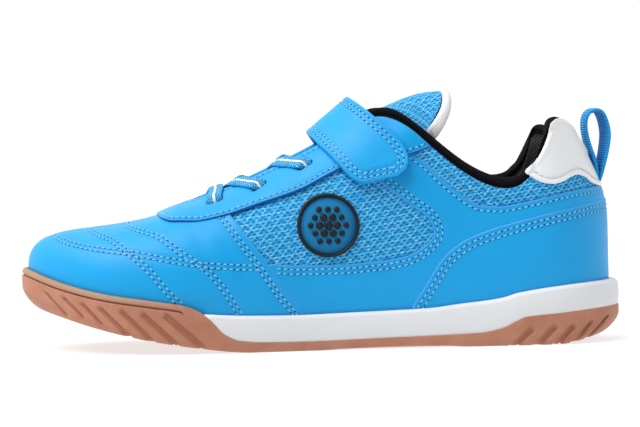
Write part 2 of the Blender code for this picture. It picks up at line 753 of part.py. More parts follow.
def tongue_point(number, share, depth):
    """Point of the tongue: row number, share of its half width, depth below its top face."""
    number, share = np.broadcast_arrays(np.asarray(number, float), np.asarray(share, float))
    number = number * (1.0 - TONGUE_ROUND * share ** 4)
    row = tongue_line(number)
    ahead = tongue_line(np.minimum(number + 0.01, TONGUE_END + 0.3)) - tongue_line(number - 0.01)
    slope = np.arctan2(ahead[..., 1], ahead[..., 0])
    half_width = row[..., 2] - 0.5 * depth * np.abs(share)
    sink = row[..., 3] * share ** 2 + depth * row[..., 4] * (1.0 - 0.35 * share ** 2)
    x = row[..., 0] + np.sin(slope) * sink
    z = row[..., 1] - np.cos(slope) * sink
    centre = 1.0 - smooth_step((row[..., 0] + 40.0) / 60.0)
    return np.stack([x, centre + half_width * share, z], -1)


tongue_rows = np.linspace(0.0, TONGUE_END, TONGUE_STEPS + 1)
shares = np.linspace(-1.0, 1.0, TONGUE_ACROSS + 1)
tongue_sections = []
for number in tongue_rows:
    above = tongue_point(number, shares, 0.0)
    under = tongue_point(number, shares[::-1], 1.0)
    tongue_sections.append(np.concatenate([above, under]))
tube("tongue", tongue_sections, MESH)

# White edge round the free end of the tongue.
edge_shares = np.linspace(-1.0, 1.0, 13)
edge_middle = 0.5 * (tongue_point(TONGUE_END, edge_shares, 0.0) + tongue_point(TONGUE_END, edge_shares, 1.0))
edge_before = 0.5 * (
    tongue_point(TONGUE_END - 0.05, edge_shares, 0.0) + tongue_point(TONGUE_END - 0.05, edge_shares, 1.0)
)
edge_ahead = edge_middle - edge_before
edge_ahead = edge_ahead / np.linalg.norm(edge_ahead, axis=1)[:, None]
edge_thick = tongue_point(TONGUE_END, edge_shares, 0.0) - tongue_point(TONGUE_END, edge_shares, 1.0)
edge_thick = edge_thick / np.linalg.norm(edge_thick, axis=1)[:, None]
edge_middle = edge_middle + edge_ahead * (GAP + 0.5 * EDGE_WIDTH)
edge_sections = []
for k in range(len(edge_shares)):
    section = []
    for j in range(6):
        angle = 2.0 * math.pi * (j + 0.5) / 6
        wide = edge_ahead[k] * 0.5 * EDGE_WIDTH * math.cos(angle) / math.cos(math.pi / 6)
        thick = edge_thick[k] * 0.5 * EDGE_THICK * math.sin(angle)
        section.append(edge_middle[k] + wide + thick)
    edge_sections.append(section)
tube("tongue_edge", edge_sections, WHITE)

# A triangle net of the upper's outer face, to set the strap, the laces and the badge on it.
net_points = shell(grid_q, grid_t)
net = BVHTree.FromPolygons([Vector(p) for p in net_points.reshape(-1, 3)], net_triangles(0))


def kept_off(point, clearance):
    """The point, moved out where it lies closer to the upper than the clearance."""
    place, normal, index, distance = net.find_nearest(Vector(point))
    height = (Vector(point) - place).dot(normal)
    if height < clearance and distance < STRAP_NEAR:
        return np.array(point) + np.array(normal) * (clearance - height)
    return np.array(point)


# Strap over the instep, from the medial side to its free end on the lateral side.
strap_rows = []
for side, rows in ((-1.0, STRAP), (1.0, STRAP[-2::-1])):
    for row in rows:
        strap_rows.append((
            row.front_x, side * row.front_out, row.front_z, row.rear_x, side * row.rear_out, row.rear_z,
        ))
strap_line = cubic_through(np.array(strap_rows) * np.tile(STRETCH, 2))
strap_numbers = np.linspace(0.0, len(strap_rows) - 1.0, STRAP_STEPS + 1)
strap_lower = []
for value in strap_line(strap_numbers):
    front, rear = value[:3], value[3:]
    row = [front + (rear - front) * share for share in np.linspace(0.0, 1.0, STRAP_ACROSS + 1)]
    strap_lower.append([kept_off(p, STRAP_CLEAR) for p in row])
strap_lower = np.array(strap_lower)
for turn in range(3):
    strap_lower[1:-1] = 0.25 * strap_lower[:-2] + 0.5 * strap_lower[1:-1] + 0.25 * strap_lower[2:]
    for place in np.ndindex(strap_lower.shape[:2]):
        strap_lower[place] = kept_off(strap_lower[place], STRAP_CLEAR)
strap_along = np.gradient(strap_lower, axis=0)
strap_across = np.gradient(strap_lower, axis=1)
strap_up = np.cross(strap_along, strap_across)
strap_up = strap_up / np.linalg.norm(strap_up, axis=2)[..., None]
strap_upper = strap_lower + strap_up * STRAP_THICK
if strap_up[STRAP_STEPS // 2, 1, 2] < 0.0:
    strap_upper = strap_lower - strap_up * STRAP_THICK
tube("strap", np.concatenate([strap_lower, strap_upper[:, ::-1]], 1), BLUE)


# Laces: flat crossings over the throat, joined where they meet.
def strand(name, start, end, finish=None):
    """A flat cord from a lateral to a medial eyelet, arched over the throat."""
    a = shell(start, EYELET_DEPTH) + shell_normal(start, EYELET_DEPTH) * LACE_CLEAR
    b = shell(TURN - end, EYELET_DEPTH) + shell_normal(TURN - end, EYELET_DEPTH) * LACE_CLEAR
    share = np.linspace(0.0, 1.0, LACE_STEPS + 1)[:, None]
    line = a + (b - a) * share
    line[:, 2] += LACE_ARCH * (1.0 - (2.0 * share[:, 0] - 1.0) ** 2)
    line = np.array([kept_off(p, LACE_CLEAR) for p in line])
    along = np.gradient(line, axis=0)
    along = along / np.linalg.norm(along, axis=1)[:, None]
    rise = np.array([-0.42, 0.0, 0.91])
    flat = np.cross(along, rise)
    flat = flat / np.linalg.norm(flat, axis=1)[:, None]
    thick = np.cross(flat, along)
    sections = []
    for k in range(len(line)):
        section = []
        for j in range(LACE_SIDES):
            angle = 2.0 * math.pi * (j + 0.5) / LACE_SIDES
            wide = flat[k] * 0.5 * LACE_WIDTH * math.cos(angle) / math.cos(math.pi / LACE_SIDES)
            high = thick[k] * 0.5 * LACE_THICK * math.sin(angle) / math.cos(math.pi / LACE_SIDES)
            section.append(line[k] + wide + high)
        sections.append(section)
    return tube(name, sections, finish)


laces = strand("laces", EYELETS[0], EYELETS[0], BLUE)
crossings = [(1, 0), (0, 1), (2, 1), (1, 2)]
for number, (lateral, medial) in enumerate(crossings):
    cut(laces, strand("strand_%d" % number, EYELETS[lateral], EYELETS[medial]), "UNION")

# Pull loop at the back of the heel.
loop_line = cubic_through(np.array(LOOP_LINE) * STRETCH[[0, 2]], closed=True)
loop_numbers = np.arange(0.0, len(LOOP_LINE), 1.0 / LOOP_STEPS)
loop_middle = loop_line(loop_numbers)
loop_along = loop_line(loop_numbers + 1e-3) - loop_line(loop_numbers - 1e-3)
loop_along = loop_along / np.linalg.norm(loop_along, axis=1)[:, None]
loop_out = np.stack([-loop_along[:, 1], loop_along[:, 0]], 1)
loop_sections = []
for centre, normal in zip(loop_middle, loop_out):
    section = []
    for depth, y in ((-0.5, -0.5), (0.5, -0.5), (0.5, 0.5), (-0.5, 0.5)):
        place = centre + normal * depth * LOOP_THICK
        section.append((place[0], y * LOOP_WIDTH, place[1]))
    loop_sections.append(section)
hoop("pull_loop", loop_sections, BLUE)

# Badge in the mesh window.
badge_x = BADGE_CENTRE[0] * STRETCH[0]
badge_z = BADGE_CENTRE[1] * STRETCH[2]


def badge_point(radius, angle, lift):
    start = Vector((badge_x + radius * math.cos(angle), -FAR, badge_z + radius * math.sin(angle)))
    place, normal, index, distance = net.ray_cast(start, Vector((0.0, 1.0, 0.0)))
    return np.array(place + normal * lift)


badge_angles = 2.0 * math.pi * np.arange(BADGE_SIDES) / BADGE_SIDES
badge_rings = []
for radius, lift in zip(BADGE_RADII[1:], BADGE_LIFTS[1:]):
    badge_rings.append([badge_point(radius, angle, lift) for angle in badge_angles])
for radius in (BADGE_RADII[-1], BADGE_BACK, BADGE_RADII[1]):
    badge_rings.append([badge_point(radius, angle, BADGE_GAP) for angle in badge_angles])
badge_points = np.array(badge_rings).reshape(-1, 3).tolist()
badge_faces = strips(len(badge_rings), BADGE_SIDES)
top_centre = len(badge_points)
badge_points.append(badge_point(0.0, 0.0, BADGE_LIFTS[0]))
badge_points.append(badge_point(0.0, 0.0, BADGE_GAP))
last_ring = (len(badge_rings) - 1) * BADGE_SIDES
for j in range(BADGE_SIDES):
    badge_faces.append((j, (j + 1) % BADGE_SIDES, top_centre))
    badge_faces.append((last_ring + j, last_ring + (j + 1) % BADGE_SIDES, top_centre + 1))
solid("badge", badge_points, badge_faces, BLACK)
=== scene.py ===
"""Looks of the indoor court shoe: fine skins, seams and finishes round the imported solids.

The skins follow the same tables as the solids. x runs from the toe (negative) to the heel, the
lateral side is at negative y, z is up and the floor is at zero. Sizes are in millimetres.
"""

import math
from collections import namedtuple

import bmesh
import bpy
import numpy as np
from mathutils import Matrix, Vector
from mathutils.bvhtree import BVHTree
from mathutils.kdtree import KDTree


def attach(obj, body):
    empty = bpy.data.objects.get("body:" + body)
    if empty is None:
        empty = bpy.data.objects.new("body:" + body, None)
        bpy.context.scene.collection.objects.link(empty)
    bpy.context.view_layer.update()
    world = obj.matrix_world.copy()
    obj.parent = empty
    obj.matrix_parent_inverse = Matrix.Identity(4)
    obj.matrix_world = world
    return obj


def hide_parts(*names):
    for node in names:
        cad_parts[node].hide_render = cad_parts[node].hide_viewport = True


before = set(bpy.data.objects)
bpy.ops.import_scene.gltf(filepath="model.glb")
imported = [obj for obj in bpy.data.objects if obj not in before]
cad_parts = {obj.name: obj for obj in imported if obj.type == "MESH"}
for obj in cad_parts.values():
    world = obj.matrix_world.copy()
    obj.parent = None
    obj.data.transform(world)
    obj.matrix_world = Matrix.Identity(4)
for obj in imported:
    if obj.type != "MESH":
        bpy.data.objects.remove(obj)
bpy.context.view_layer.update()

MM = 0.001
FAR = 90.0
BODY = "root"

# Outline of the sole in plan, from the back of the heel to the tip of the toe.
Station = namedtuple("Station", "x lateral medial")
OUTLINE = [
    Station(119.5, 0.0, 0.0), Station(110.0, -20.0, 20.0), Station(90.0, -29.8, 29.5),
    Station(62.0, -31.3, 29.5), Station(32.0, -32.2, 27.5), Station(2.0, -34.8, 28.5),
    Station(-28.0, -39.2, 35.5), Station(-57.0, -42.1, 41.0), Station(-85.0, -36.5, 40.9),
    Station(-107.5, -19.5, 28.5), Station(-119.5, 5.0, 5.0),
]
HALF = len(OUTLINE) - 1
TURN = 2 * HALF

# Heights along the shoe, as (x, z).
UNDERSIDE = [
    (-120, 20.0), (-112, 16.4), (-104, 13.9), (-92.5, 10.6), (-81, 7.7), (-69.5, 5.2), (-58, 3.2),
    (-46.5, 1.5), (-36, 0.3), (-30, 0.0), (-4, 0.0), (8, 0.4), (28, 0.6), (46, 0.5), (56, 0.0),
    (92, 0.0), (97, 0.6), (104, 2.0), (110, 3.4), (115, 5.3), (120, 8.0),
]
GUM_TOP = [
    (-120, 33.0), (-104, 27.4), (-88, 23.6), (-69, 20.8), (-57, 18.9), (-50, 16.2), (-45.5, 12.4),
    (-41, 7.6), (-35, 4.8), (-25, 3.9), (-11, 3.7), (28, 4.4), (48, 4.9), (60, 5.4), (69, 7.2),
    (74, 9.6), (78, 11.2), (92, 12.4), (105, 13.5), (120, 14.5),
]
MIDSOLE_TOP = [
    (-120, 30.8), (-104, 25.4), (-88, 21.6), (-69, 18.4), (-48, 15.4), (-30, 14.3), (-11, 14.0),
    (9, 14.4), (40, 15.4), (52, 16.8), (68, 18.7), (76, 20.8), (92, 22.9), (106, 24.0), (120, 24.5),
]
TREAD_INSET = [
    (-120, 6.4), (-108, 5.4), (-92, 3.4), (-70, 2.4), (80, 2.2), (100, 3.0), (112, 4.4), (120, 4.8),
]
FEATHER_INSET = [(-120, 4.6), (70, 4.6), (108, 5.2), (120, 5.3)]
FEATHER_GAP = 0.05

# Ribs of the upper, one per outline station, as in the solids.
Rib = namedtuple("Rib", "x half centre z_lateral z_medial heading rise pull climb lean")
RIBS = [
    Rib(104.6, 0.0, 0.0, 77.6, 77.6, 180, 66, 28, 40, -1),
    Rib(91.8, 21.6, 0.0, 87.2, 84.3, 118, 78, 22, 26, 1),
    Rib(79.2, 25.4, 0.0, 64.8, 64.8, 95, 86, 15, 19, 3),
    Rib(53.8, 24.1, 0.0, 69.3, 69.3, 92, 84, 16, 20, 3),
    Rib(27.6, 17.5, 0.2, 90.0, 90.0, 90, 68, 22, 36, 3),
    Rib(8.0, 11.2, 0.4, 83.4, 83.6, 87, 40, 20, 32, 3),
    Rib(-11.0, 9.8, 0.6, 73.0, 73.2, 80, 31, 22, 27, 3),
    Rib(-29.5, 8.6, 0.9, 64.4, 64.6, 70, 26, 24, 23, 4),
    Rib(-43.0, 6.4, 1.2, 59.3, 59.5, 48, 22, 28, 22.5, 7),
    Rib(-49.3, 3.6, 1.4, 57.1, 57.2, 22, 24, 35, 24.5, 10),
    Rib(-51.0, 0.0, 1.5, 56.5, 56.5, 0, 26, 36, 26, 12),
]
# Wall of the upper: its thickness, the pad along the collar, and where the pad ends and begins to rise.
WALL = 1.8
COLLAR_PAD = 2.6
PAD_END = (4.2, 5.1)
PAD_RISE = (0.55, 0.95)

# Edges of the panels seen from the side, as (x, z).
VAMP_EDGE = [(-8.4, 9.0), (-9.2, 14.0), (-16.9, 24.7), (-22.6, 33.4), (-30.0, 43.5), (-37.6, 54.0)]
EYESTAY_EDGE = [
    (-66.4, 56.4), (-66.0, 54.4), (-64.2, 52.5), (-59.6, 51.3), (-52.0, 51.3), (-41.4, 53.0), (-25.2, 57.9),
    (-9.5, 62.9), (2.3, 68.8), (8.2, 71.5), (18.0, 73.4), (30.6, 75.0), (43.4, 79.1),
]
WINDOW_EDGE = [
    (-22.0, 34.0), (-10.9, 33.2), (4.8, 33.2), (20.5, 34.2), (31.0, 35.9), (38.0, 39.3), (42.4, 44.8),
    (41.0, 49.5), (33.8, 55.6), (23.8, 63.3), (13.0, 71.9),
]
COLLAR_EDGE = [
    (35.0, 75.6), (39.1, 72.6), (47.1, 65.0), (56.7, 57.4), (61.4, 55.2), (68.5, 54.7), (80.6, 56.6),
    (97.5, 60.1), (114.0, 62.2), (125.0, 63.8),
]
COUNTER_EDGE = [
    (31.4, 8.0), (32.8, 14.4), (38.9, 24.4), (45.0, 33.9), (49.6, 38.4), (56.6, 42.7), (68.2, 46.7),
    (88.6, 51.7), (115.2, 56.9), (130.0, 59.6),
]
TAB_EDGE = [
    (91.2, 94.0), (88.6, 83.2), (86.2, 77.6), (83.2, 72.6), (78.8, 68.2), (82.3, 65.4), (86.2, 63.6),
    (90.4, 63.1), (94.2, 64.0), (97.6, 65.6), (100.8, 66.6), (104.0, 65.8), (107.4, 63.4), (112.0, 61.8),
    (125.0, 61.0),
]

# How far the cloth and the panels stand off the shell: underside, top, radius, and the rim of the edge that
# takes the cut-edge colour with a painted highlight.
Layer = namedtuple("Layer", "low high radius rim")
CLOTH = Layer(0.02, 0.16, 0.2, 0.0)
QUARTER = Layer(0.4, 1.1, 0.6, 0.42)
VAMP = Layer(0.55, 1.5, 0.7, 0.48)
COUNTER = Layer(0.55, 1.5, 0.7, 0.48)
EYESTAY = Layer(1.0, 2.3, 0.8, 0.3)
TAB = Layer(0.5, 1.25, 0.6, 0.0)
EDGE_SINK = 0.5
WEAVE_HEIGHT = 0.26
PUFF = 1.0

# Collar roll over the padded top of the upper.
BINDING_HEIGHT = [(0, 0.8), (0.5, 0.8), (0.8, 1.4), (1, 2.3), (2, 3.7), (3, 4.2), (4, 4.2), (5, 3.0)]
BINDING_START = 4.72
BINDING_GAP = 0.35
ROLL_FROM = math.radians(-35.0)
ROLL_TO = math.radians(95.0)
ROLL_SHARE = 0.3


def cubic_through(rows, closed=False):
    """A smooth curve through the rows, as a function of the row number."""
    points = np.asarray(rows, float)
    count = len(points)
    system = 4.0 * np.eye(count) + np.eye(count, k=1) + np.eye(count, k=-1)
    before = np.roll(points, 1, 0)
    after = np.roll(points, -1, 0)
    if closed:
        system[0, -1] = 1.0
        system[-1, 0] = 1.0
    else:
        system[0, 0] = 2.0
        system[-1, -1] = 2.0
        before[0] = points[0]
        after[-1] = points[-1]
    slopes = np.linalg.solve(system, 3.0 * (after - before))

    def at(number):
        number = np.asarray(number, float)
        low = np.floor(number).astype(int)
        if not closed:
            low = np.clip(low, 0, count - 2)
        part = (number - low)[..., None]
        low = low % count
        high = (low + 1) % count
        rest = 1.0 - part
        value = points[low] * (1.0 + 2.0 * part) * rest ** 2
        value = value + points[high] * part ** 2 * (3.0 - 2.0 * part)
        return value + slopes[low] * part * rest ** 2 - slopes[high] * part ** 2 * rest

    return at


def profile(rows):
    """A line through (x, value) rows that never overshoots them."""
    table = np.array(rows, float)
    x = table[:, 0]
    v = table[:, 1]
    step = np.diff(x)
    grade = np.diff(v) / step
    slope = np.zeros(len(x))
    slope[0] = grade[0]
    slope[-1] = grade[-1]
    for i in range(1, len(x) - 1):
        if grade[i - 1] * grade[i] > 0.0:
            slope[i] = 2.0 * grade[i - 1] * grade[i] / (grade[i - 1] + grade[i])

    def at(where):
        where = np.clip(np.asarray(where, float), x[0], x[-1])
        low = np.clip(np.searchsorted(x, where, side="right") - 1, 0, len(x) - 2)
        part = (where - x[low]) / step[low]
        rest = 1.0 - part
        value = v[low] * (1.0 + 2.0 * part) * rest ** 2 + v[low + 1] * part ** 2 * (3.0 - 2.0 * part)
        return value + step[low] * (slope[low] * part * rest ** 2 - slope[low + 1] * part ** 2 * rest)

    return at


def smooth_step(value):
    value = np.clip(value, 0.0, 1.0)
    return value * value * (3.0 - 2.0 * value)


def fade(value, start, end):
    """From 0 at the start to 1 at the end."""
    return smooth_step((value - start) / (end - start))


def unit(vectors):
    return vectors / np.linalg.norm(vectors, axis=-1, keepdims=True)


def run_of(points):
    """Distance along a line of points, from its first point to each."""
    return np.concatenate([[0.0], np.cumsum(np.linalg.norm(np.diff(points, axis=0), axis=1))])


def line_through(rows, step=0.5):
    """Points a step apart on a smooth line through rows of any number of columns."""
    rows = np.array(rows, float)
    run = run_of(rows)
    along = np.linspace(0.0, run[-1], max(2, int(run[-1] / step) + 1))
    columns = [profile(np.column_stack([run, column]))(along) for column in rows.T]
    return np.column_stack(columns)


def along_line(x, z, x0, z0, x1, z1):
    """How far side-view places lie along and across a line, and its length."""
    length = math.hypot(x1 - x0, z1 - z0)
    dx = (x1 - x0) / length
    dz = (z1 - z0) / length
    return (x - x0) * dx + (z - z0) * dz, (z - z0) * dx - (x - x0) * dz, length


# The last: outline of the sole and outer face of the upper.
underside = profile(UNDERSIDE)
gum_top = profile(GUM_TOP)
midsole_top = profile(MIDSOLE_TOP)
tread_inset = profile(TREAD_INSET)
feather_inset = profile(FEATHER_INSET)
binding_height = profile(BINDING_HEIGHT)
outline_rows = [(row.x, row.lateral) for row in OUTLINE]
outline_rows += [(row.x, row.medial) for row in reversed(OUTLINE[1:-1])]
outline = cubic_through(outline_rows, closed=True)


def outward(q):
    """Unit normal of the outline in plan."""
    along = unit(outline(np.asarray(q) + 1e-3) - outline(np.asarray(q) - 1e-3))
    return np.stack([-along[..., 1], along[..., 0]], -1)


def inset(q, distance):
    return outline(q) - outward(q) * np.asarray(distance)[..., None]


def rib_curves():
    """Where each rib ends, how it arrives there, how far it climbs and how it leans, round the shoe."""
    tops = []
    pulls = []
    starts = []
    order = [(rib, -1.0) for rib in RIBS] + [(rib, 1.0) for rib in reversed(RIBS[1:-1])]
    for rib, side in order:
        z = rib.z_lateral if side < 0 else rib.z_medial
        tops.append((rib.x, rib.centre + side * rib.half, z))
        heading = math.radians(rib.heading)
        rise = math.radians(rib.rise)
        flat = rib.pull * math.cos(rise)
        pulls.append((flat * math.cos(heading), -side * flat * math.sin(heading), rib.pull * math.sin(rise)))
        starts.append((rib.climb, math.radians(rib.lean)))
    return [cubic_through(rows, closed=True) for rows in (tops, pulls, starts)]


top_at, pull_at, start_at = rib_curves()


def shell(q, t):
    """Point of the upper's outer face: q round the shoe, t from the sole to the top."""
    q, t = np.broadcast_arrays(np.asarray(q, float), np.asarray(t, float))
    plan = inset(q, feather_inset(outline(q)[..., 0]))
    foot = np.concatenate([plan, (midsole_top(plan[..., 0]) + FEATHER_GAP)[..., None]], -1)
    start = start_at(q)
    climb = start[..., :1]
    lean = start[..., 1:]
    rise = np.concatenate([outward(q) * np.sin(lean), np.cos(lean)], -1)
    first = foot + rise * climb
    top = top_at(q)
    second = top - pull_at(q)
    t = t[..., None]
    u = 1.0 - t
    return foot * u ** 3 + 3.0 * first * t * u ** 2 + 3.0 * second * t ** 2 * u + top * t ** 3


def shell_normal(q, t):
    step = 1e-3
    q, t = np.broadcast_arrays(np.asarray(q, float), np.asarray(t, float))
    t = np.clip(t, step, 1.0 - step)
    up = shell(q, t + step) - shell(q, t - step)
    return unit(np.cross(up, shell(q + step, t) - shell(q - step, t)))


def from_heel(q):
    return np.minimum(np.mod(q, TURN), TURN - np.mod(q, TURN))


def wall_at(q, t):
    """Thickness of the upper: padded along the collar."""
    return WALL + COLLAR_PAD * (1.0 - fade(from_heel(q), *PAD_END)) * fade(t, *PAD_RISE)


def roll(q, angle, lift):
    """Point of the collar roll: the angle runs from its outer side over its top."""
    out = shell_normal(q, 1.0)
    up = pull_at(q)
    up = unit(up - out * np.sum(up * out, -1, keepdims=True))
    wall = wall_at(q, 1.0)
    height = binding_height(from_heel(q))
    middle = shell(q, 1.0) - out * (0.5 * wall - 0.2)[..., None]
    middle = middle + up * (BINDING_GAP + 0.5 * height)[..., None]
    reach = (0.5 * wall + 0.6 + lift) * np.cos(angle)
    rise = (0.5 * height + lift) * np.sin(angle)
    return middle + out * reach[..., None] + up * rise[..., None]


def skin(q, t, lift):
    """Point off the upper's outer face; past t = 1 it rolls over the collar."""
    q, t, lift = np.broadcast_arrays(*[np.asarray(a, float) for a in (q, t, lift)])
    level = np.minimum(t, 1.0)
    point = shell(q, level) + shell_normal(q, level) * lift[..., None]
    on_midsole = midsole_top(point[..., 0]) + FEATHER_GAP
    point[..., 2] = np.where(t <= 0.0, on_midsole, point[..., 2])
    angle = ROLL_FROM + (ROLL_TO - ROLL_FROM) * (t - 1.0) / ROLL_SHARE
    return np.where((t > 1.0)[..., None], roll(q, angle, lift), point)


# Finishes, each a short node tree on a Principled shader.
def finish(name, colour, roughness, **sockets):
    """A material with these constants; other sockets are given by their name with underscores."""
    shade = bpy.data.materials.new(name)
    shade.use_nodes = True
    shader = shade.node_tree.nodes["Principled BSDF"]
    shader.inputs["Base Color"].default_value = (*colour, 1.0)
    shader.inputs["Roughness"].default_value = roughness
    for socket, value in sockets.items():
        shader.inputs[socket.replace("_", " ")].default_value = value
    return shade


def node(shade, kind, inputs=None, **values):
    made = shade.node_tree.nodes.new("ShaderNode" + kind)
    for key, value in values.items():
        setattr(made, key, value)
    for key, value in (inputs or {}).items():
        if isinstance(value, bpy.types.NodeSocket):
            shade.node_tree.links.new(value, made.inputs[key])
        else:
            made.inputs[key].default_value = value
    return made


def shader_of(shade):
    return shade.node_tree.nodes["Principled BSDF"]


def in_millimetres(shade):
    """Place on the object, in millimetres."""
    place = node(shade, "TexCoord").outputs["Object"]
    return node(shade, "VectorMath", {0: place, 1: (1.0 / MM,) * 3}, operation="MULTIPLY").outputs[0]


def noise(shade, size, detail=3.0):
    inputs = {"Vector": in_millimetres(shade), "Scale": 1.0 / size, "Detail": detail}
    return node(shade, "TexNoise", inputs).outputs["Fac"]


def cells(shade, size):
    inputs = {"Vector": in_millimetres(shade), "Scale": 1.0 / size}
    return node(shade, "TexVoronoi", inputs).outputs["Distance"]


def bands(shade, turn, scale, distortion):
    """Fine stripes across a direction that is turned about y."""
    inputs = {"Vector": in_millimetres(shade), "Angle": turn}
    turned = node(shade, "VectorRotate", inputs, rotation_type="Y_AXIS").outputs[0]
    inputs = {"Vector": turned, "Scale": scale, "Distortion": distortion}
    return node(shade, "TexWave", inputs, bands_direction="X").outputs["Fac"]


def weave_parts(shade):
    """The two numbers that each point of a piece carries: most often its place in the weave."""
    place = node(shade, "UVMap", uv_map="weave").outputs["UV"]
    return node(shade, "SeparateXYZ", {0: place}).outputs


def blended(shade, share, colour, other):
    return node(shade, "Mix", {0: share, 6: colour, 7: (*other, 1.0)}, data_type="RGBA").outputs[2]


def ramp(shade, value, stops):
    """Colours along a value, as (position, colour) rows."""
    made = node(shade, "ValToRGB", {"Fac": value})
    line = made.color_ramp
    while len(line.elements) < len(stops):
        line.elements.new(0.5)
    for element, (position, colour) in zip(line.elements, stops):
        element.position = position
        element.color = (*colour, 1.0)
    return made.outputs["Color"]


def paint(shade, colour):
    shade.node_tree.links.new(colour, shader_of(shade).inputs["Base Color"])


def bump(shade, height, depth, strength=1.0):
    """Relief of so many millimetres, on top of what the material has already."""
    normal = shader_of(shade).inputs["Normal"]
    inputs = {"Height": height, "Distance": depth * MM, "Strength": strength}
    if normal.links:
        inputs["Normal"] = normal.links[0].from_socket
    shade.node_tree.links.new(node(shade, "Bump", inputs).outputs["Normal"], normal)


def worn(shade, value, low, high):
    """Roughness that varies with a value."""
    result = node(shade, "MapRange", {"Value": value, "To Min": low, "To Max": high}).outputs["Result"]
    shade.node_tree.links.new(result, shader_of(shade).inputs["Roughness"])


def maths(shade, operation, *values):
    return node(shade, "Math", dict(enumerate(values)), operation=operation).outputs[0]


def mixed(colour, other, share):
    return tuple(a + (b - a) * share for a, b in zip(colour, other))


SKY_BLUE = (0.004, 0.365, 0.79)
DEEP_BLUE = (0.004, 0.14, 0.50)
NIGHT_BLUE = (0.003, 0.05, 0.18)
ICE_BLUE = (0.30, 0.72, 0.93)
WHITE = (0.77, 0.785, 0.81)
BLACK = (0.005, 0.005, 0.006)
GUM = (0.465, 0.19, 0.12)
FLUTE_PAINTED_SHADE = (0.28, 0.085, 0.045)
LIP_PAINTED_HIGHLIGHT = (0.40, 0.255, 0.17)
LACE_WHITE = (0.86, 0.85, 0.86)


def leather(name, colour, grain=0.05):
    """Smooth coated leather with fine grain and soft differences of tone."""
    shade = finish(name, colour, 0.45, Specular_IOR_Level=0.3)
    paint(shade, ramp(shade, noise(shade, 38.0, 2.0), [
        (0.3, mixed(colour, (0.0, 0.0, 0.0), 0.06)), (0.7, colour),
    ]))
    worn(shade, noise(shade, 6.0), 0.38, 0.54)
    bump(shade, cells(shade, 0.55), grain, 0.35)
    bump(shade, noise(shade, 0.9), grain, 0.5)
    bump(shade, noise(shade, 14.0, 1.0), 0.25, 0.6)
    return shade


# Eyes of the knitted mesh: width and height of a cell, rise of its rows, tilt and size of an eye in it.
EYE_CELL = (2.4, 1.22)
ROW_RISE = -0.17
EYE_TILT = -0.25
EYE_WIDE = 0.4
EYE_HIGH = 0.32
ROW_WOBBLE = 0.35
# The pattern repeats with deeper eyes over this many cells.
EYE_REPEAT = 2


def weave_eye(shade, cell):
    """The eyes of the knitted mesh at one size of cell, from 0 in an eye to 1 between the eyes."""
    parts = weave_parts(shade)
    height = maths(shade, "MULTIPLY_ADD", noise(shade, 1.8, 1.0), ROW_WOBBLE, parts["Y"])
    row = maths(shade, "DIVIDE", maths(shade, "MULTIPLY_ADD", parts["X"], ROW_RISE, height), cell[1])
    number = maths(shade, "FLOOR", row)
    across = maths(shade, "SUBTRACT", maths(shade, "FRACT", row), 0.5)
    along = maths(shade, "MULTIPLY_ADD", number, 0.5, maths(shade, "DIVIDE", parts["X"], cell[0]))
    along = maths(shade, "SUBTRACT", maths(shade, "FRACT", along), 0.5)
    across = maths(shade, "MULTIPLY_ADD", along, EYE_TILT, across)
    wide = maths(shade, "POWER", maths(shade, "DIVIDE", along, EYE_WIDE), 2.0)
    high = maths(shade, "POWER", maths(shade, "DIVIDE", across, EYE_HIGH), 2.0)
    return maths(shade, "MINIMUM", maths(shade, "ADD", wide, high), 1.0)


def weave_height(u, v):
    """The same eyes as a height from 0 to 1, for the mesh of the cloth."""
    row = (v + ROW_RISE * u) / EYE_CELL[1]
    number = np.floor(row)
    along = u / EYE_CELL[0] + 0.5 * number
    along = along - np.floor(along) - 0.5
    across = row - number - 0.5 + EYE_TILT * along
    return smooth_step(((along / EYE_WIDE) ** 2 + (across / EYE_HIGH) ** 2 - 0.2) / 1.2)


def knitted_mesh(name):
    """Open knitted mesh: thin dark eyes between blue threads, with pale flecks on the threads."""
    shade = finish(name, SKY_BLUE, 0.62, Specular_IOR_Level=0.25)
    eye = weave_eye(shade, EYE_CELL)
    deep = weave_eye(shade, (EYE_REPEAT * EYE_CELL[0], EYE_REPEAT * EYE_CELL[1]))
    fleck = noise(shade, 0.6, 2.0)
    tone = maths(shade, "MULTIPLY_ADD", deep, 0.26, maths(shade, "MULTIPLY_ADD", fleck, 0.8, -0.5))
    paint(shade, ramp(shade, maths(shade, "MULTIPLY_ADD", eye, 0.5, tone), [
        (0.0, NIGHT_BLUE), (0.24, (0.004, 0.15, 0.42)), (0.44, (0.008, 0.31, 0.69)),
        (0.62, (0.02, 0.40, 0.78)), (0.86, (0.38, 0.73, 0.91)),
    ]))
    bump(shade, eye, 0.25, 0.6)
    bump(shade, noise(shade, 0.4), 0.12, 0.6)
    return shade


def knit(name, colour, size, relief, shadow, gloss=0.2):
    """Close knit of twisted yarn, darker between the yarns."""
    shade = finish(name, colour, 0.85, Specular_IOR_Level=gloss)
    tone = noise(shade, 0.7 * size)
    paint(shade, ramp(shade, tone, [(0.3, mixed(colour, BLACK, shadow)), (0.75, colour)]))
    for turn in (-0.8, 0.8):
        bump(shade, bands(shade, turn, 0.32 / size, 0.6), relief, 0.5)
    bump(shade, noise(shade, 0.45 * size), relief, 0.5)
    return shade


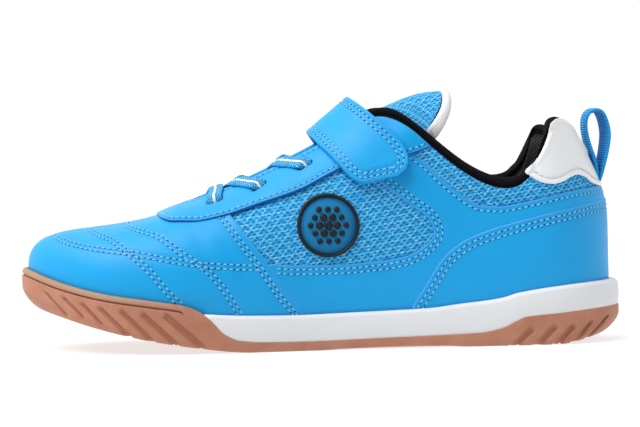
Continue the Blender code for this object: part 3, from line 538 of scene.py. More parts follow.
def rubber(name, colour):
    """Moulded gum with a mottle and a fine drawn texture, painted shade in its flutes and a painted highlight
    on the top of its lip.
    """
    shade = finish(name, colour, 0.55, Specular_IOR_Level=0.3)
    tone = ramp(shade, noise(shade, 9.0, 4.0), [
        (0.25, mixed(colour, (0.30, 0.10, 0.05), 0.22)), (0.75, mixed(colour, (0.75, 0.45, 0.30), 0.18)),
    ])
    shares = weave_parts(shade)
    # The first share paints shade into the flutes by their depth, the second paints a highlight onto the top
    # of the lip.
    for axis, most, other in (("X", 0.6, FLUTE_PAINTED_SHADE), ("Y", 0.75, LIP_PAINTED_HIGHLIGHT)):
        tone = blended(shade, maths(shade, "MULTIPLY", shares[axis], most), tone, other)
    paint(shade, tone)
    worn(shade, noise(shade, 5.0), 0.48, 0.66)
    bump(shade, bands(shade, 0.9, 0.42, 0.2), 0.05, 0.25)
    bump(shade, noise(shade, 0.6), 0.06, 0.4)
    return shade


def foam(name, colour):
    """Moulded foam with a satin skin."""
    shade = finish(name, colour, 0.48, Specular_IOR_Level=0.3)
    paint(shade, ramp(shade, noise(shade, 22.0, 2.0), [(0.3, mixed(colour, BLACK, 0.03)), (0.7, colour)]))
    worn(shade, noise(shade, 4.0), 0.42, 0.58)
    bump(shade, noise(shade, 0.8), 0.04, 0.4)
    return shade


def yarn(name, colour):
    """Sewing thread with a twist."""
    shade = finish(name, colour, 0.6, Specular_IOR_Level=0.3)
    paint(shade, ramp(shade, noise(shade, 0.5, 1.0), [(0.3, mixed(colour, DEEP_BLUE, 0.2)), (0.7, colour)]))
    return shade


def striped_lace(name):
    """Flat elastic lace: woven blue with a white stripe along the middle."""
    shade = finish(name, SKY_BLUE, 0.7, Specular_IOR_Level=0.25)
    parts = weave_parts(shade)
    off = maths(shade, "ABSOLUTE", parts["Y"])
    ribs = maths(shade, "SINE", maths(shade, "MULTIPLY", parts["X"], 4.6))
    beads = maths(shade, "SINE", maths(shade, "MULTIPLY", parts["Y"], 5.2))
    tone = maths(shade, "MULTIPLY", maths(shade, "MULTIPLY", ribs, beads), 0.22)
    tone = maths(shade, "ADD", tone, maths(shade, "MULTIPLY", noise(shade, 0.5), 0.7))
    blue = ramp(shade, tone, [(0.1, (0.004, 0.10, 0.30)), (0.35, (0.01, 0.30, 0.62)), (0.65, ICE_BLUE)])
    stripe = node(shade, "MapRange", {"Value": off, "From Min": 0.55, "From Max": 0.4})
    paint(shade, blended(shade, stripe.outputs["Result"], blue, LACE_WHITE))
    bump(shade, tone, 0.3, 0.7)
    return shade


def ribbed_webbing(name):
    """Woven tape with a rib every so often along it, darker in the grooves between the ribs as painted shade.
    """
    shade = finish(name, SKY_BLUE, 0.7, Specular_IOR_Level=0.25)
    parts = weave_parts(shade)
    # Darker where the ribs dip: painted shade in the grooves, under a slanted weave and random fluff.
    rib = maths(shade, "ABSOLUTE", maths(shade, "SINE", maths(shade, "MULTIPLY", parts["X"], math.pi)))
    slant = maths(shade, "MULTIPLY_ADD", parts["Y"], 7.0, maths(shade, "MULTIPLY", parts["X"], 6.3))
    fluff = maths(shade, "MULTIPLY_ADD", noise(shade, 0.5), 0.3, rib)
    tone = maths(shade, "MULTIPLY_ADD", maths(shade, "SINE", slant), 0.07, fluff)
    paint(shade, ramp(shade, tone, [
        (0.12, (0.006, 0.13, 0.37)), (0.5, (0.008, 0.24, 0.60)), (1.0, (0.012, 0.33, 0.74)),
    ]))
    bump(shade, tone, 0.2, 0.5)
    return shade


blue_leather = leather("blue_leather", SKY_BLUE)
# Cut edge of the panels, made paler as a painted highlight along their rounded rims.
blue_edge = leather("blue_cut_edge_and_painted_highlight", (0.07, 0.36, 0.84))
# Deep blue of the cut edge, darkened as painted shade on the panel walls and along the eyestay's lower edge.
deep_edge_painted_shade = leather("deep_blue_edge_painted_shade", (0.005, 0.095, 0.37))
white_leather = leather("white_leather", (0.88, 0.89, 0.905))
mesh_cloth = knitted_mesh("blue_mesh")
black_knit = knit("black_knit", (0.008, 0.008, 0.01), 1.1, 0.35, 0.6, 0.06)
# The lining is the same black knit as the roll, painted lighter to offset its shade inside the shoe.
lining_knit_painted_light = knit("lining_knit_painted_light", (0.075, 0.077, 0.083), 1.1, 0.25, 0.5)
white_knit = knit("white_knit", (0.88, 0.89, 0.90), 1.0, 0.14, 0.08)
footbed_cloth = knit("footbed_cloth", (0.02, 0.022, 0.028), 0.8, 0.12, 0.4)
webbing = ribbed_webbing("blue_webbing")
lace_cloth = striped_lace("blue_lace")
gum_rubber = rubber("gum_rubber", GUM)
white_foam = foam("white_foam", WHITE)
black_rubber = foam("black_rubber", (0.008, 0.008, 0.009))
badge_field = knit("badge_field", (0.012, 0.22, 0.50), 0.45, 0.08, 0.2)
pale_thread = yarn("pale_thread", (0.26, 0.64, 0.88))
grey_thread = yarn("grey_thread", (0.78, 0.79, 0.81))
# Needle holes: small beads whose colour is the painted shade in the holes.
blue_hole_painted_shade = foam("needle_hole", (0.003, 0.02, 0.075))
grey_hole_painted_shade = foam("tab_needle_hole", (0.55, 0.56, 0.58))


# Pieces.
def piece(name, points, faces, finishes, marks=None, weave=None, nodes=(), slot=None):
    """A closed mesh in place that rides on the shoe and stands for these solids."""
    mesh = bpy.data.meshes.new(name)
    mesh.from_pydata((np.asarray(points) * MM).tolist(), [], [tuple(face) for face in faces])
    for shade in finishes:
        mesh.materials.append(shade)
    if marks is not None:
        mesh.polygons.foreach_set("material_index", np.asarray(marks, np.int32))
    mesh.polygons.foreach_set("use_smooth", np.ones(len(mesh.polygons), bool))
    shape = bmesh.new()
    shape.from_mesh(mesh)
    bmesh.ops.recalc_face_normals(shape, faces=shape.faces)
    shape.to_mesh(mesh)
    shape.free()
    if weave is not None:
        corners = np.zeros(len(mesh.loops), np.int32)
        mesh.loops.foreach_get("vertex_index", corners)
        layer = mesh.uv_layers.new(name="weave")
        layer.data.foreach_set("uv", np.asarray(weave, np.float32)[corners].ravel())
    thing = bpy.data.objects.new(name, mesh)
    bpy.context.scene.collection.objects.link(thing)
    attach(thing, BODY)
    if nodes:
        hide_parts(*nodes)
    return thing


def grid_faces(rows, columns, first=0, closed_rows=False, closed_columns=False):
    """Quads over a grid of points that are stored row by row."""
    faces = []
    for i in range(rows if closed_rows else rows - 1):
        for j in range(columns if closed_columns else columns - 1):
            a = first + i * columns + j
            b = first + i * columns + (j + 1) % columns
            c = first + (i + 1) % rows * columns + (j + 1) % columns
            d = first + (i + 1) % rows * columns + j
            faces.append((a, b, c, d))
    return faces


def capped_tube(sections):
    """Points and faces of a solid through closed sections, with flat ends."""
    sections = np.asarray(sections)
    count, around = sections.shape[:2]
    faces = grid_faces(count, around, closed_columns=True)
    faces.append(tuple(range(around)))
    faces.append(tuple((count - 1) * around + j for j in range(around)))
    return sections.reshape(-1, 3), faces


# Patches of the upper: triangles whose rows hold rib number, share and place in the weave.
RIB_SPACING = 28.0
RIB_LENGTH = 62.0
HEEL_CENTRE = 85.0
HEEL_RADIUS = 25.0


def girth(place):
    """How far round the shoe a place lies from the back of the heel."""
    ahead = np.maximum(HEEL_CENTRE - place[..., 0], 0.0)
    behind = np.maximum(place[..., 0] - HEEL_CENTRE, 0.0)
    return np.sign(place[..., 1]) * (ahead + HEEL_RADIUS * np.arctan2(np.abs(place[..., 1]), behind))


def patch(q_low, q_high, step, t_low=0.0, t_high=1.0):
    q = np.linspace(q_low, q_high, int((q_high - q_low) * RIB_SPACING / step) + 2)
    t = np.linspace(t_low, t_high, int((t_high - t_low) * RIB_LENGTH / step) + 2)
    grid_q, grid_t = np.meshgrid(q, t, indexing="ij")
    place = skin(grid_q, grid_t, 0.0)
    data = np.stack([grid_q, grid_t, girth(place), place[..., 2]], -1).reshape(-1, 4)
    faces = np.array(grid_faces(len(q), len(t)))
    return data, np.concatenate([faces[:, [0, 1, 2]], faces[:, [0, 2, 3]]])


def within(rows):
    """A test for points inside a closed side-view line."""
    ends = np.roll(rows, -1, 0)

    def test(x, z):
        inside = np.zeros(np.shape(x), bool)
        for (x0, z0), (x1, z1) in zip(rows, ends):
            if z0 == z1:
                continue
            crosses = (z0 > z) != (z1 > z)
            inside ^= crosses & (x < (x1 - x0) * (z - z0) / (z1 - z0) + x0)
        return inside

    return test


def divide(data, faces, lone_side, place_new):
    """Cuts the triangles that have points on both sides; returns data, faces and the cut pairs."""
    signs = lone_side[faces]
    total = signs.sum(1)
    crossing = np.abs(total) < 3
    cut = faces[crossing]
    if not len(cut):
        return data, faces, np.zeros((0, 2), int)
    lone = np.argmax(signs[crossing] == -total[crossing][:, None], 1)
    order = (lone[:, None] + np.arange(3)) % 3
    a, b, c = np.take_along_axis(cut, order, 1).T
    edges = np.sort(np.concatenate([np.stack([a, b], 1), np.stack([a, c], 1)]), 1)
    unique, inverse = np.unique(edges, axis=0, return_inverse=True)
    inverse = inverse.reshape(-1)
    fresh = place_new(data, unique)
    ab = len(data) + inverse[:len(cut)]
    ac = len(data) + inverse[len(cut):]
    faces = np.concatenate([
        faces[~crossing], np.stack([a, ab, ac], 1), np.stack([ab, b, c], 1), np.stack([ab, c, ac], 1),
    ])
    return np.concatenate([data, fresh]), faces, np.stack([ab, ac], 1)


def trimmed(data, faces, inside):
    """The part of a patch inside a region, and the pairs of points along the new border."""
    flags = inside(data)

    def on_border(rows, edges):
        near = rows[edges[:, 0]].copy()
        far = rows[edges[:, 1]].copy()
        swap = ~flags[edges[:, 0]]
        near[swap], far[swap] = far[swap].copy(), near[swap].copy()
        for _ in range(16):
            middle = 0.5 * (near + far)
            good = inside(middle)
            near[good] = middle[good]
            far[~good] = middle[~good]
        return near

    count = len(data)
    data, faces, pairs = divide(data, faces, np.where(flags, 1, -1), on_border)
    keep = np.concatenate([flags, np.ones(len(data) - count, bool)])
    faces = faces[keep[faces].all(1)]
    used, renumbered = np.unique(faces, return_inverse=True)
    lookup = np.full(len(data), -1)
    lookup[used] = np.arange(len(used))
    pairs = lookup[pairs]
    return data[used], renumbered.reshape(-1, 3), pairs[(pairs >= 0).all(1)]


def tree_of(points):
    tree = KDTree(len(points))
    for number, point in enumerate(points):
        tree.insert(point, number)
    tree.balance()
    return tree


def segment_distance(points, starts, ends):
    """Distance of each point to the nearest of many short segments."""
    tree = tree_of(0.5 * (starts + ends))
    near = np.array([[hit[1] for hit in tree.find_n(point, 3)] for point in points])
    best = np.full(len(points), FAR)
    for column in near.T:
        a = starts[column]
        span = ends[column] - a
        share = np.sum((points - a) * span, 1) / np.maximum(np.sum(span * span, 1), 1e-12)
        foot = a + span * np.clip(share, 0.0, 1.0)[:, None]
        best = np.minimum(best, np.linalg.norm(points - foot, axis=1))
    return best


def at_level(level):
    """Places new points where the last column reaches a level."""
    def place(rows, edges):
        a = rows[edges[:, 0]]
        b = rows[edges[:, 1]]
        share = (level - a[:, -1]) / (b[:, -1] - a[:, -1])
        return a + (b - a) * share[:, None]
    return place


EDGE_LEVELS = (0.1, 0.35, 0.7, 1.0)
BARE_TOP = 0.97


def slab(data, faces, low, high, rim):
    """A closed solid between two heights over a patch; its rim and walls are marked below the top edge."""
    count = len(data)
    points = np.concatenate([skin(data[:, 0], data[:, 1], high), skin(data[:, 0], data[:, 1], low)])
    sides = np.concatenate([faces[:, [0, 1]], faces[:, [1, 2]], faces[:, [2, 0]]])
    _, index, times = np.unique(np.sort(sides, 1), axis=0, return_index=True, return_counts=True)
    border = sides[index[times == 1]]
    walls = np.stack([border[:, 1], border[:, 0], border[:, 0] + count, border[:, 1] + count], 1)
    share = data[:, 1]
    # Mark 1, the rim, and mark 2, the walls, take a panel's second and third finish; on the leather panels
    # these are edge colours with a painted highlight and with painted shade.
    marks = np.zeros(2 * len(faces) + len(walls), int)
    marks[:len(faces)] = (data[faces, -1].mean(1) < rim) & (share[faces].mean(1) < BARE_TOP)
    marks[2 * len(faces):] = 2 * (share[border[:, 0]] < BARE_TOP)
    under = faces[:, ::-1] + count
    return points, faces.tolist() + under.tolist() + walls.tolist(), marks


def panel(name, layer, area, region, step, seams=(), relief=None, finishes=None, **facts):
    """A panel on the upper: cut to a region, with a rounded edge and dents along its seams."""
    data, faces = patch(*area[:2], step, *area[2:])
    data, faces, pairs = trimmed(data, faces, region)
    places = skin(data[:, 0], data[:, 1], 0.0)
    distance = segment_distance(places, places[pairs[:, 0]], places[pairs[:, 1]])
    distance[np.unique(pairs)] = 0.0
    data = np.column_stack([data, distance])
    for share in EDGE_LEVELS:
        level = share * layer.radius
        data, faces, _ = divide(data, faces, np.where(data[:, -1] >= level, 1, -1), at_level(level))
    distance = data[:, -1]
    curve = np.clip(1.0 - distance / layer.radius, 0.0, 1.0)
    high = layer.high - EDGE_SINK * (layer.high - layer.low) * (1.0 - np.sqrt(1.0 - curve ** 2))
    if relief is not None:
        high = high + relief(data)
    if seams:
        places = skin(data[:, 0], data[:, 1], layer.high)
        tree = tree_of(np.concatenate([seam.places for seam in seams]))
        off = np.array([tree.find(place)[2] for place in places])
        high = high - SEAM_DENT * np.exp(-(off / SEAM_SPREAD) ** 2)
    points, all_faces, marks = slab(data, faces, layer.low, high, layer.rim)
    weave = np.concatenate([data[:, 2:4], data[:, 2:4]])
    return piece(name, points, all_faces, finishes, marks, weave, **facts)


# Seams: lines of stitches on the upper, as places with normals.
Seam = namedtuple("Seam", "places normals")
SEAM_DENT = 0.28
SEAM_SPREAD = 0.75
STITCH_PITCH = 2.5
STITCH_LENGTH = 1.6
STITCH_WIDTH = 0.52
STITCH_RISE = 0.24
STITCH_SLANT = math.radians(9.0)
HEEL_BULGE = 16.0
STITCH_SUNK = 0.6
STITCH_LIFT = 0.12
HOLE_SIZE = (0.85, 0.5, 0.3)
NET_PER_RIB = 20
NET_ROWS = 70


def net_of(q_low, q_high, lift, t_high=1.0):
    """A triangle net off the upper's outer face."""
    q = np.linspace(q_low, q_high, int((q_high - q_low) * NET_PER_RIB) + 1)
    t = np.linspace(0.0, t_high, NET_ROWS)
    grid_q, grid_t = np.meshgrid(q, t, indexing="ij")
    points = skin(grid_q, grid_t, lift).reshape(-1, 3)
    return BVHTree.FromPolygons([Vector(p) for p in points], grid_faces(len(q), len(t)))


# Nets of the lateral side, the medial side and the whole upper at the height of each layer.
Nets = namedtuple("Nets", "lateral medial whole")


def nets_at(lift):
    whole = net_of(0.0, TURN, lift, 1.0 + 0.5 * ROLL_SHARE)
    return Nets(net_of(0.0, HALF, lift), net_of(HALF, TURN, lift), whole)


shell_nets = nets_at(0.0)
quarter_nets = nets_at(QUARTER.high)
vamp_nets = nets_at(VAMP.high)
counter_nets = nets_at(COUNTER.high)
eyestay_nets = nets_at(EYESTAY.high)
tab_nets = nets_at(TAB.high)


def respaced(points, step):
    run = run_of(points)
    count = max(2, int(round(run[-1] / step)) + 1)
    along = np.linspace(0.0, run[-1], count)
    return np.column_stack([np.interp(along, run, column) for column in points.T])


def nearest(net, points):
    """The points drawn to a net, with its normals there."""
    hits = [net.find_nearest(Vector(p)) for p in points]
    return np.array([hit[0] for hit in hits]), np.array([hit[1] for hit in hits])


def beside(net, points, amount):
    """The line moved sideways over a net by a distance."""
    places, normals = nearest(net, points)
    along = unit(np.gradient(points, axis=0))
    return nearest(net, places + np.cross(normals, along) * amount)


def seen(net, side, x, z):
    """Where a side-view place lies on a net, with the normal there, or nothing."""
    return net.ray_cast(Vector((x, side * FAR, z)), Vector((0.0, -side, 0.0)))[:2]


def laid(rows, net, side, start=0.0, end=1.0):
    """A side-view line carried onto one side of the upper."""
    line = line_through(rows, 0.4)
    line = line[int(start * len(line)):int(end * len(line))]
    hits = [seen(net, side, x, z)[0] for x, z in line]
    return np.array([hit for hit in hits if hit is not None])


def edge_seams(rows, offsets, nets, start=0.0, end=1.0):
    """Seams along a panel's edge on both sides; an offset is positive to the left of the line."""
    made = []
    for side, net in ((-1.0, nets.lateral), (1.0, nets.medial)):
        line = laid(rows, net, side, start, end)
        made += [Seam(*beside(nets.whole, line, -side * offset)) for offset in offsets]
    return made


def heel_seams(rows, offsets, nets, start, end):
    """Seams along a panel's edge that run on round the back of the heel."""
    lateral = laid(rows, nets.lateral, -1.0, start, end)
    medial = laid(rows, nets.medial, 1.0, start, end)[::-1]
    share = np.linspace(0.0, 1.0, 40)[1:-1, None]
    across = lateral[-1] + (medial[0] - lateral[-1]) * share
    across[:, :1] += HEEL_BULGE * share * (1.0 - share)
    line = respaced(np.concatenate([lateral, nearest(nets.whole, across)[0], medial]), 0.4)
    return [Seam(*beside(nets.whole, line, offset)) for offset in offsets]


def crossing_seams(rows, offsets, net):
    """Seams over the toe from one side to the other, given by rib number and share."""
    rows = list(rows) + [(TURN - q, t) for q, t in reversed(rows[:-1])]
    line = line_through(rows, 0.02)
    places = respaced(shell(line[:, 0], line[:, 1]), 0.4)
    return [Seam(*beside(net, places, offset)) for offset in offsets]


def bead(rings, sides):
    """A unit bead along x: points and faces of a long rounded drop."""
    points = [(-0.5, 0.0, 0.0)]
    for k in range(1, rings):
        along = -0.5 * math.cos(math.pi * k / rings)
        radius = 0.5 * math.sin(math.pi * k / rings) ** 0.55
        for j in range(sides):
            angle = 2.0 * math.pi * j / sides
            points.append((along, radius * math.cos(angle), radius * math.sin(angle)))
    points.append((0.5, 0.0, 0.0))
    last = len(points) - 1
    faces = [(0, 1 + (j + 1) % sides, 1 + j) for j in range(sides)]
    faces += grid_faces(rings - 1, sides, first=1, closed_columns=True)
    final = 1 + (rings - 2) * sides
    faces += [(last, final + j, final + (j + 1) % sides) for j in range(sides)]
    return np.array(points), faces


def strewn(name, template, centres, axes, sizes, shade):
    """One mesh of many copies of a template, each in its own axes."""
    shape, faces = template
    count = len(shape)
    local = shape * np.array(sizes)
    points = centres[:, None, :] + np.einsum("pk,nkc->npc", local, axes)
    all_faces = [tuple(n * count + i for i in face) for n in range(len(centres)) for face in faces]
    return piece(name, points.reshape(-1, 3), all_faces, [shade])


def stitches(name, seams, thread, hole):
    """Threads along seams, with a needle hole between each two: a small dark bead that paints the shade in
    the hole.
    """
    centres = []
    axes = []
    for seam in seams:
        line = respaced(seam.places, STITCH_PITCH)
        marks = np.linspace(0, len(seam.places) - 1, len(line)).round().astype(int)
        normals = seam.normals[marks]
        along = np.gradient(line, axis=0)
        along = unit(along - normals * np.sum(along * normals, 1)[:, None])
        aside = np.cross(normals, along)
        centres.append(line - normals * STITCH_SUNK * SEAM_DENT)
        axes.append(np.stack([along, aside, normals], 1))
    centres = np.concatenate(centres)
    axes = np.concatenate(axes)
    turned = axes.copy()
    turned[:, 0] = axes[:, 0] * math.cos(STITCH_SLANT) + axes[:, 1] * math.sin(STITCH_SLANT)
    turned[:, 1] = axes[:, 1] * math.cos(STITCH_SLANT) - axes[:, 0] * math.sin(STITCH_SLANT)
    raised = centres + axes[:, 2] * STITCH_LIFT
    size = (STITCH_LENGTH, STITCH_WIDTH, 2.0 * STITCH_RISE)
    strewn(name, bead(4, 6), raised, turned, size, thread)
    between = centres + axes[:, 0] * 0.5 * STITCH_PITCH
    strewn(name + "_holes", bead(3, 6), between, axes, HOLE_SIZE, hole)


# Seam lines over the toe, as rib number and share, and rows beside the panel edges.
TOE_BOW = [
    (6.05, 0.242), (6.52, 0.266), (7.26, 0.302), (8.12, 0.338), (8.66, 0.336), (9.12, 0.338), (10.0, 0.36),
]
TOE_FRONT = [(7.04, 0.04), (7.24, 0.108), (7.52, 0.212), (8.02, 0.340), (8.64, 0.464), (10.0, 0.564)]
TOE_REAR = [(6.22, 0.01), (6.44, 0.128), (6.80, 0.260), (7.20, 0.352), (7.92, 0.516), (10.0, 0.73)]
PAIR = (-0.92, 0.92)

toe_seams = []
for seam_rows in (TOE_BOW, TOE_FRONT, TOE_REAR):
    toe_seams += crossing_seams(seam_rows, PAIR, vamp_nets.whole)
vamp_seams = edge_seams(VAMP_EDGE, (2.8, 4.5), vamp_nets, 0.13, 1.0)
eyestay_seams = edge_seams(EYESTAY_EDGE, (1.7,), eyestay_nets, 0.01, 0.965)
throat_line = skin(np.linspace(4.9, TURN - 4.9, 500), 0.965, EYESTAY.high)
eyestay_seams.append(Seam(*nearest(eyestay_nets.whole, throat_line)))
window_seams = edge_seams(WINDOW_EDGE, (-1.6, -3.4), quarter_nets, 0.03, 0.9)
collar_seams = heel_seams(COLLAR_EDGE, (-2.0,), quarter_nets, 0.0, 0.88)
counter_seams = heel_seams(COUNTER_EDGE, (-2.0, -4.0), counter_nets, 0.08, 0.86)
tab_seams = edge_seams(TAB_EDGE[4:], (2.4,), tab_nets, 0.06, 0.86)


# Regions of the panels.
def side_view(rows, lift):
    """A region off the upper inside a closed side-view line."""
    test = within(np.array(rows))

    def region(data):
        place = skin(data[:, 0], data[:, 1], lift)
        return test(place[:, 0], place[:, 2])

    return region


SLOT_HALF = 3.15
SLOT_RADIUS = 0.65
Slot = namedtuple("Slot", "x z dx dz")
SLOTS = [Slot(-43.0, 58.8, 0.949, 0.316), Slot(-25.5, 64.3, 0.84, 0.54), Slot(-7.2, 72.2, 0.863, 0.506)]


def eyestay_region(data):
    place = skin(data[:, 0], data[:, 1], EYESTAY.high)
    kept = eyestay_side(data) & (data[:, 1] < EYESTAY_TOP(from_heel(data[:, 0])))
    for slot in SLOTS:
        x = place[:, 0] - slot.x
        z = place[:, 2] - slot.z
        along = x * slot.dx + z * slot.dz
        across = z * slot.dx - x * slot.dz
        beyond = np.maximum(np.abs(along) - SLOT_HALF + SLOT_RADIUS, 0.0)
        kept &= np.hypot(beyond, across) > SLOT_RADIUS
    return kept


panel_edges = (VAMP_EDGE, EYESTAY_EDGE, WINDOW_EDGE, COLLAR_EDGE, COUNTER_EDGE, TAB_EDGE)
smooth_edges = [line_through(rows).tolist() for rows in panel_edges]
vamp_edge, eyestay_edge, window_edge, collar_edge, counter_edge, tab_edge = smooth_edges

# Lines that close the panels out of sight, under a neighbour or beyond the upper.
UNDER_EYESTAY = [(-42.0, 60.0), (-58.0, 56.5), (-62.0, 58.0), (-62.0, 70.0), (-140.0, 70.0)]
vamp_side = side_view([(-140.0, 5.0)] + vamp_edge + UNDER_EYESTAY, VAMP.high)
ABOVE_EYESTAY = [(47.0, 84.0), (47.0, 110.0), (-70.0, 110.0), (-66.6, 58.0)]
eyestay_side = side_view(eyestay_edge + ABOVE_EYESTAY, EYESTAY.high)
EYESTAY_TOP = profile([(2.0, 0.985), (4.6, 0.985), (5.0, 1.1), (10.0, 1.1)])
UNDER_VAMP = [(-14.0, 9.0), (-14.5, 14.0), (-26.0, 32.0)]
UNDER_COUNTER = [
    (130.0, 54.0), (88.0, 46.0), (68.0, 41.0), (56.0, 37.0), (48.0, 28.0), (40.0, 12.0), (38.0, 8.0),
]
BEHIND_STRAP = [(20.0, 78.0), (30.0, 79.0)]
quarter_side = side_view(UNDER_VAMP + window_edge + BEHIND_STRAP + collar_edge + UNDER_COUNTER, QUARTER.high)
counter_side = side_view(counter_edge + [(130.0, 5.0)], COUNTER.high)
tab_side = side_view(tab_edge + [(125.0, 110.0), (92.4, 110.0)], TAB.high)

WINDOW_CLOTH = [
    (-24.5, 31.5), (30.0, 32.5), (41.0, 37.0), (45.0, 45.0), (43.0, 51.0), (26.0, 65.0), (18.0, 76.0),
    (0.0, 72.0), (-28.0, 60.5), (-42.0, 56.0), (-33.0, 44.0),
]
COLLAR_CLOTH = [
    (30.0, 75.5), (45.0, 63.5), (55.0, 55.2), (61.0, 52.8), (68.5, 52.3), (81.0, 54.2), (97.5, 57.7),
    (125.0, 61.0), (125.0, 110.0), (48.0, 110.0), (44.5, 80.4), (33.0, 77.4),
]
window_side = side_view(WINDOW_CLOTH, 0.0)
collar_side = side_view(COLLAR_CLOTH, 0.0)
collar_inside = side_view(collar_edge + [(125.0, 110.0), (35.0, 110.0)], 0.0)

# Where the blue cloth of the collar gives way to the black roll.
COLLAR_TOP = profile([(0.0, 0.98), (1.7, 0.98), (1.95, 0.995), (2.8, 0.995), (3.6, 0.985), (5.0, 0.985)])
# How far up the white tab reaches over the roll.
TAB_TOP = profile([(0, 0.95), (0.35, 0.97), (0.6, 1.06), (0.95, 1.07), (1.2, 1.1), (1.5, 1.2), (2.4, 1.2)])


def collar_region(data):
    return collar_side(data) & (data[:, 1] <= COLLAR_TOP(from_heel(data[:, 0])))


def tab_region(data):
    return tab_side(data) & (data[:, 1] <= TAB_TOP(from_heel(data[:, 0])))


def cloth_relief(data):
    return WEAVE_HEIGHT * weave_height(data[:, 2], data[:, 3])


collar_line = np.array(collar_edge)
tab_line = np.array(tab_edge)


def collar_relief(data):
    """The weave, and the pad that swells between the panels round it."""
    place = skin(data[:, 0], data[:, 1], 0.0)
    gaps = []
    for line in (collar_line, tab_line):
        rise = np.hypot(place[:, :1] - line[None, ::2, 0], place[:, 2:] - line[None, ::2, 1])
        gaps.append(rise.min(1))
    swell = smooth_step(gaps[0] / 5.0) * smooth_step((gaps[1] - 0.6) / 5.0)
    return cloth_relief(data) + PUFF * swell * (~tab_side(data)) * collar_inside(data)


# Creases where the vamp bends and the padded ends of the eyestay, from the side.
Crease = namedtuple("Crease", "x0 z0 x1 z1 depth")
CREASES = [
    Crease(-52.0, 46.0, -38.0, 24.0, 0.16), Crease(-42.0, 44.0, -30.0, 22.0, 0.16),
    Crease(-62.0, 50.0, -58.0, 38.0, 0.1),
]
CREASE_SPREAD = 2.2
CREASE_END = 0.35
Pad = namedtuple("Pad", "x z radius rise")
PADS = [Pad(33.0, 82.5, 9.5, 1.2), Pad(-58.0, 55.0, 10.0, 0.7)]


def crease_relief(data):
    """Soft troughs that end gently, each with a low ridge along both sides."""
    place = skin(data[:, 0], data[:, 1], 0.0)
    relief = np.zeros(len(data))
    for crease in CREASES:
        along, across, length = along_line(place[:, 0], place[:, 2], *crease[:4])
        share = along / length
        off = np.abs(across) / CREASE_SPREAD
        ends = smooth_step(share / CREASE_END + 0.3) * smooth_step((1.0 - share) / CREASE_END + 0.3)
        relief += crease.depth * ends * (0.4 * np.exp(-(off - 2.0) ** 2) - np.exp(-off ** 2))
    return relief


def pad_height(place):
    height = np.zeros(len(place))
    for pad in PADS:
        off = np.hypot(place[:, 0] - pad.x, place[:, 2] - pad.z)
        height += pad.rise * smooth_step(1.0 - off / pad.radius)
    return height


def pad_relief(data):
    return pad_height(skin(data[:, 0], data[:, 1], 0.0))


def on_pads(seam):
    """A seam of the eyestay raised to the face of its pads."""
    return Seam(seam.places + seam.normals * pad_height(seam.places)[:, None], seam.normals)


# Upper: the shell itself, lined with black knit.
SHELL_AROUND = 180
SHELL_ROWS = 28


def shell_piece():
    q = np.linspace(0.0, TURN, SHELL_AROUND, endpoint=False)
    t = np.linspace(0.0, 1.0, SHELL_ROWS)
    grid_q, grid_t = np.meshgrid(q, t, indexing="ij")
    outer = skin(grid_q, grid_t, 0.0)
    inner = skin(grid_q, grid_t, -wall_at(grid_q, grid_t))
    loop = np.concatenate([outer, inner[:, ::-1]], 1)
    faces = grid_faces(len(q), 2 * len(t), closed_rows=True, closed_columns=True)
    column = np.tile(np.arange(2 * len(t)), len(q))
    points = loop.reshape(-1, 3)
    inside = column >= len(t) - 1
    piece(
        "upper_shell", points, faces, [mesh_cloth, black_knit], inside, np.zeros((len(points), 2)),
        nodes=["upper"], slot="mesh",
    )


# The area of a panel is a range of rib numbers and of shares; the steps of its mesh are in millimetres.
CLOTH_STEP = 0.55
PANEL_STEP = 1.0
EYESTAY_STEP = 0.95
TAB_STEP = 0.75
COLLAR_AREA = (-4.3, 4.3, 0.45, 1.0 + 0.4 * ROLL_SHARE)
EYESTAY_AREA = (2.9, TURN - 2.9, 0.5, 1.0)
TAB_AREA = (-2.4, 2.4, 0.5, 1.0 + 0.85 * ROLL_SHARE)

shell_piece()
cloth = dict(finishes=[mesh_cloth] * 3, slot="mesh")
for side_name, area in (("lateral", (2.6, 8.2)), ("medial", (TURN - 8.2, TURN - 2.6))):
    panel("window_cloth_" + side_name, CLOTH, area, window_side, CLOTH_STEP, relief=cloth_relief, **cloth)
panel("collar_cloth", CLOTH, COLLAR_AREA, collar_region, CLOTH_STEP, relief=collar_relief, **cloth)

blue = dict(finishes=[blue_leather, blue_edge, deep_edge_painted_shade], slot="panel")
panel(
    "vamp_panel", VAMP, (4.6, TURN - 4.6), vamp_side, PANEL_STEP, toe_seams + vamp_seams, crease_relief,
    nodes=["vamp"], **blue,
)
for side_name, area in (("lateral", (0.004, 7.0)), ("medial", (TURN - 7.0, TURN - 0.004))):
    panel(
        "quarter_panel_" + side_name, QUARTER, area, quarter_side, PANEL_STEP, window_seams + collar_seams,
        nodes=["quarter_" + side_name], **blue,
    )
panel(
    "counter_panel", COUNTER, (-5.0, 5.0), counter_side, PANEL_STEP, counter_seams,
    nodes=["heel_counter"], **blue,
)
panel(
    "eyestay_panel", EYESTAY, EYESTAY_AREA, eyestay_region, EYESTAY_STEP, eyestay_seams, pad_relief,
    [blue_leather, deep_edge_painted_shade, deep_edge_painted_shade], nodes=["eyestay"], slot="panel",
)

# White heel tab with a raised bead along its lower edge.
TAB_BEAD = 2.0
TAB_BEAD_RISE = 0.55


def tab_relief(data):
    share = np.clip(data[:, -1] / TAB_BEAD, 0.0, 1.0)
    return TAB_BEAD_RISE * np.sin(math.pi * share) * (data[:, 1] < BARE_TOP)


panel(
    "heel_tab_panel", TAB, TAB_AREA, tab_region, TAB_STEP, tab_seams, tab_relief, [white_leather] * 3,
    nodes=["heel_tab"], slot="tab",
)

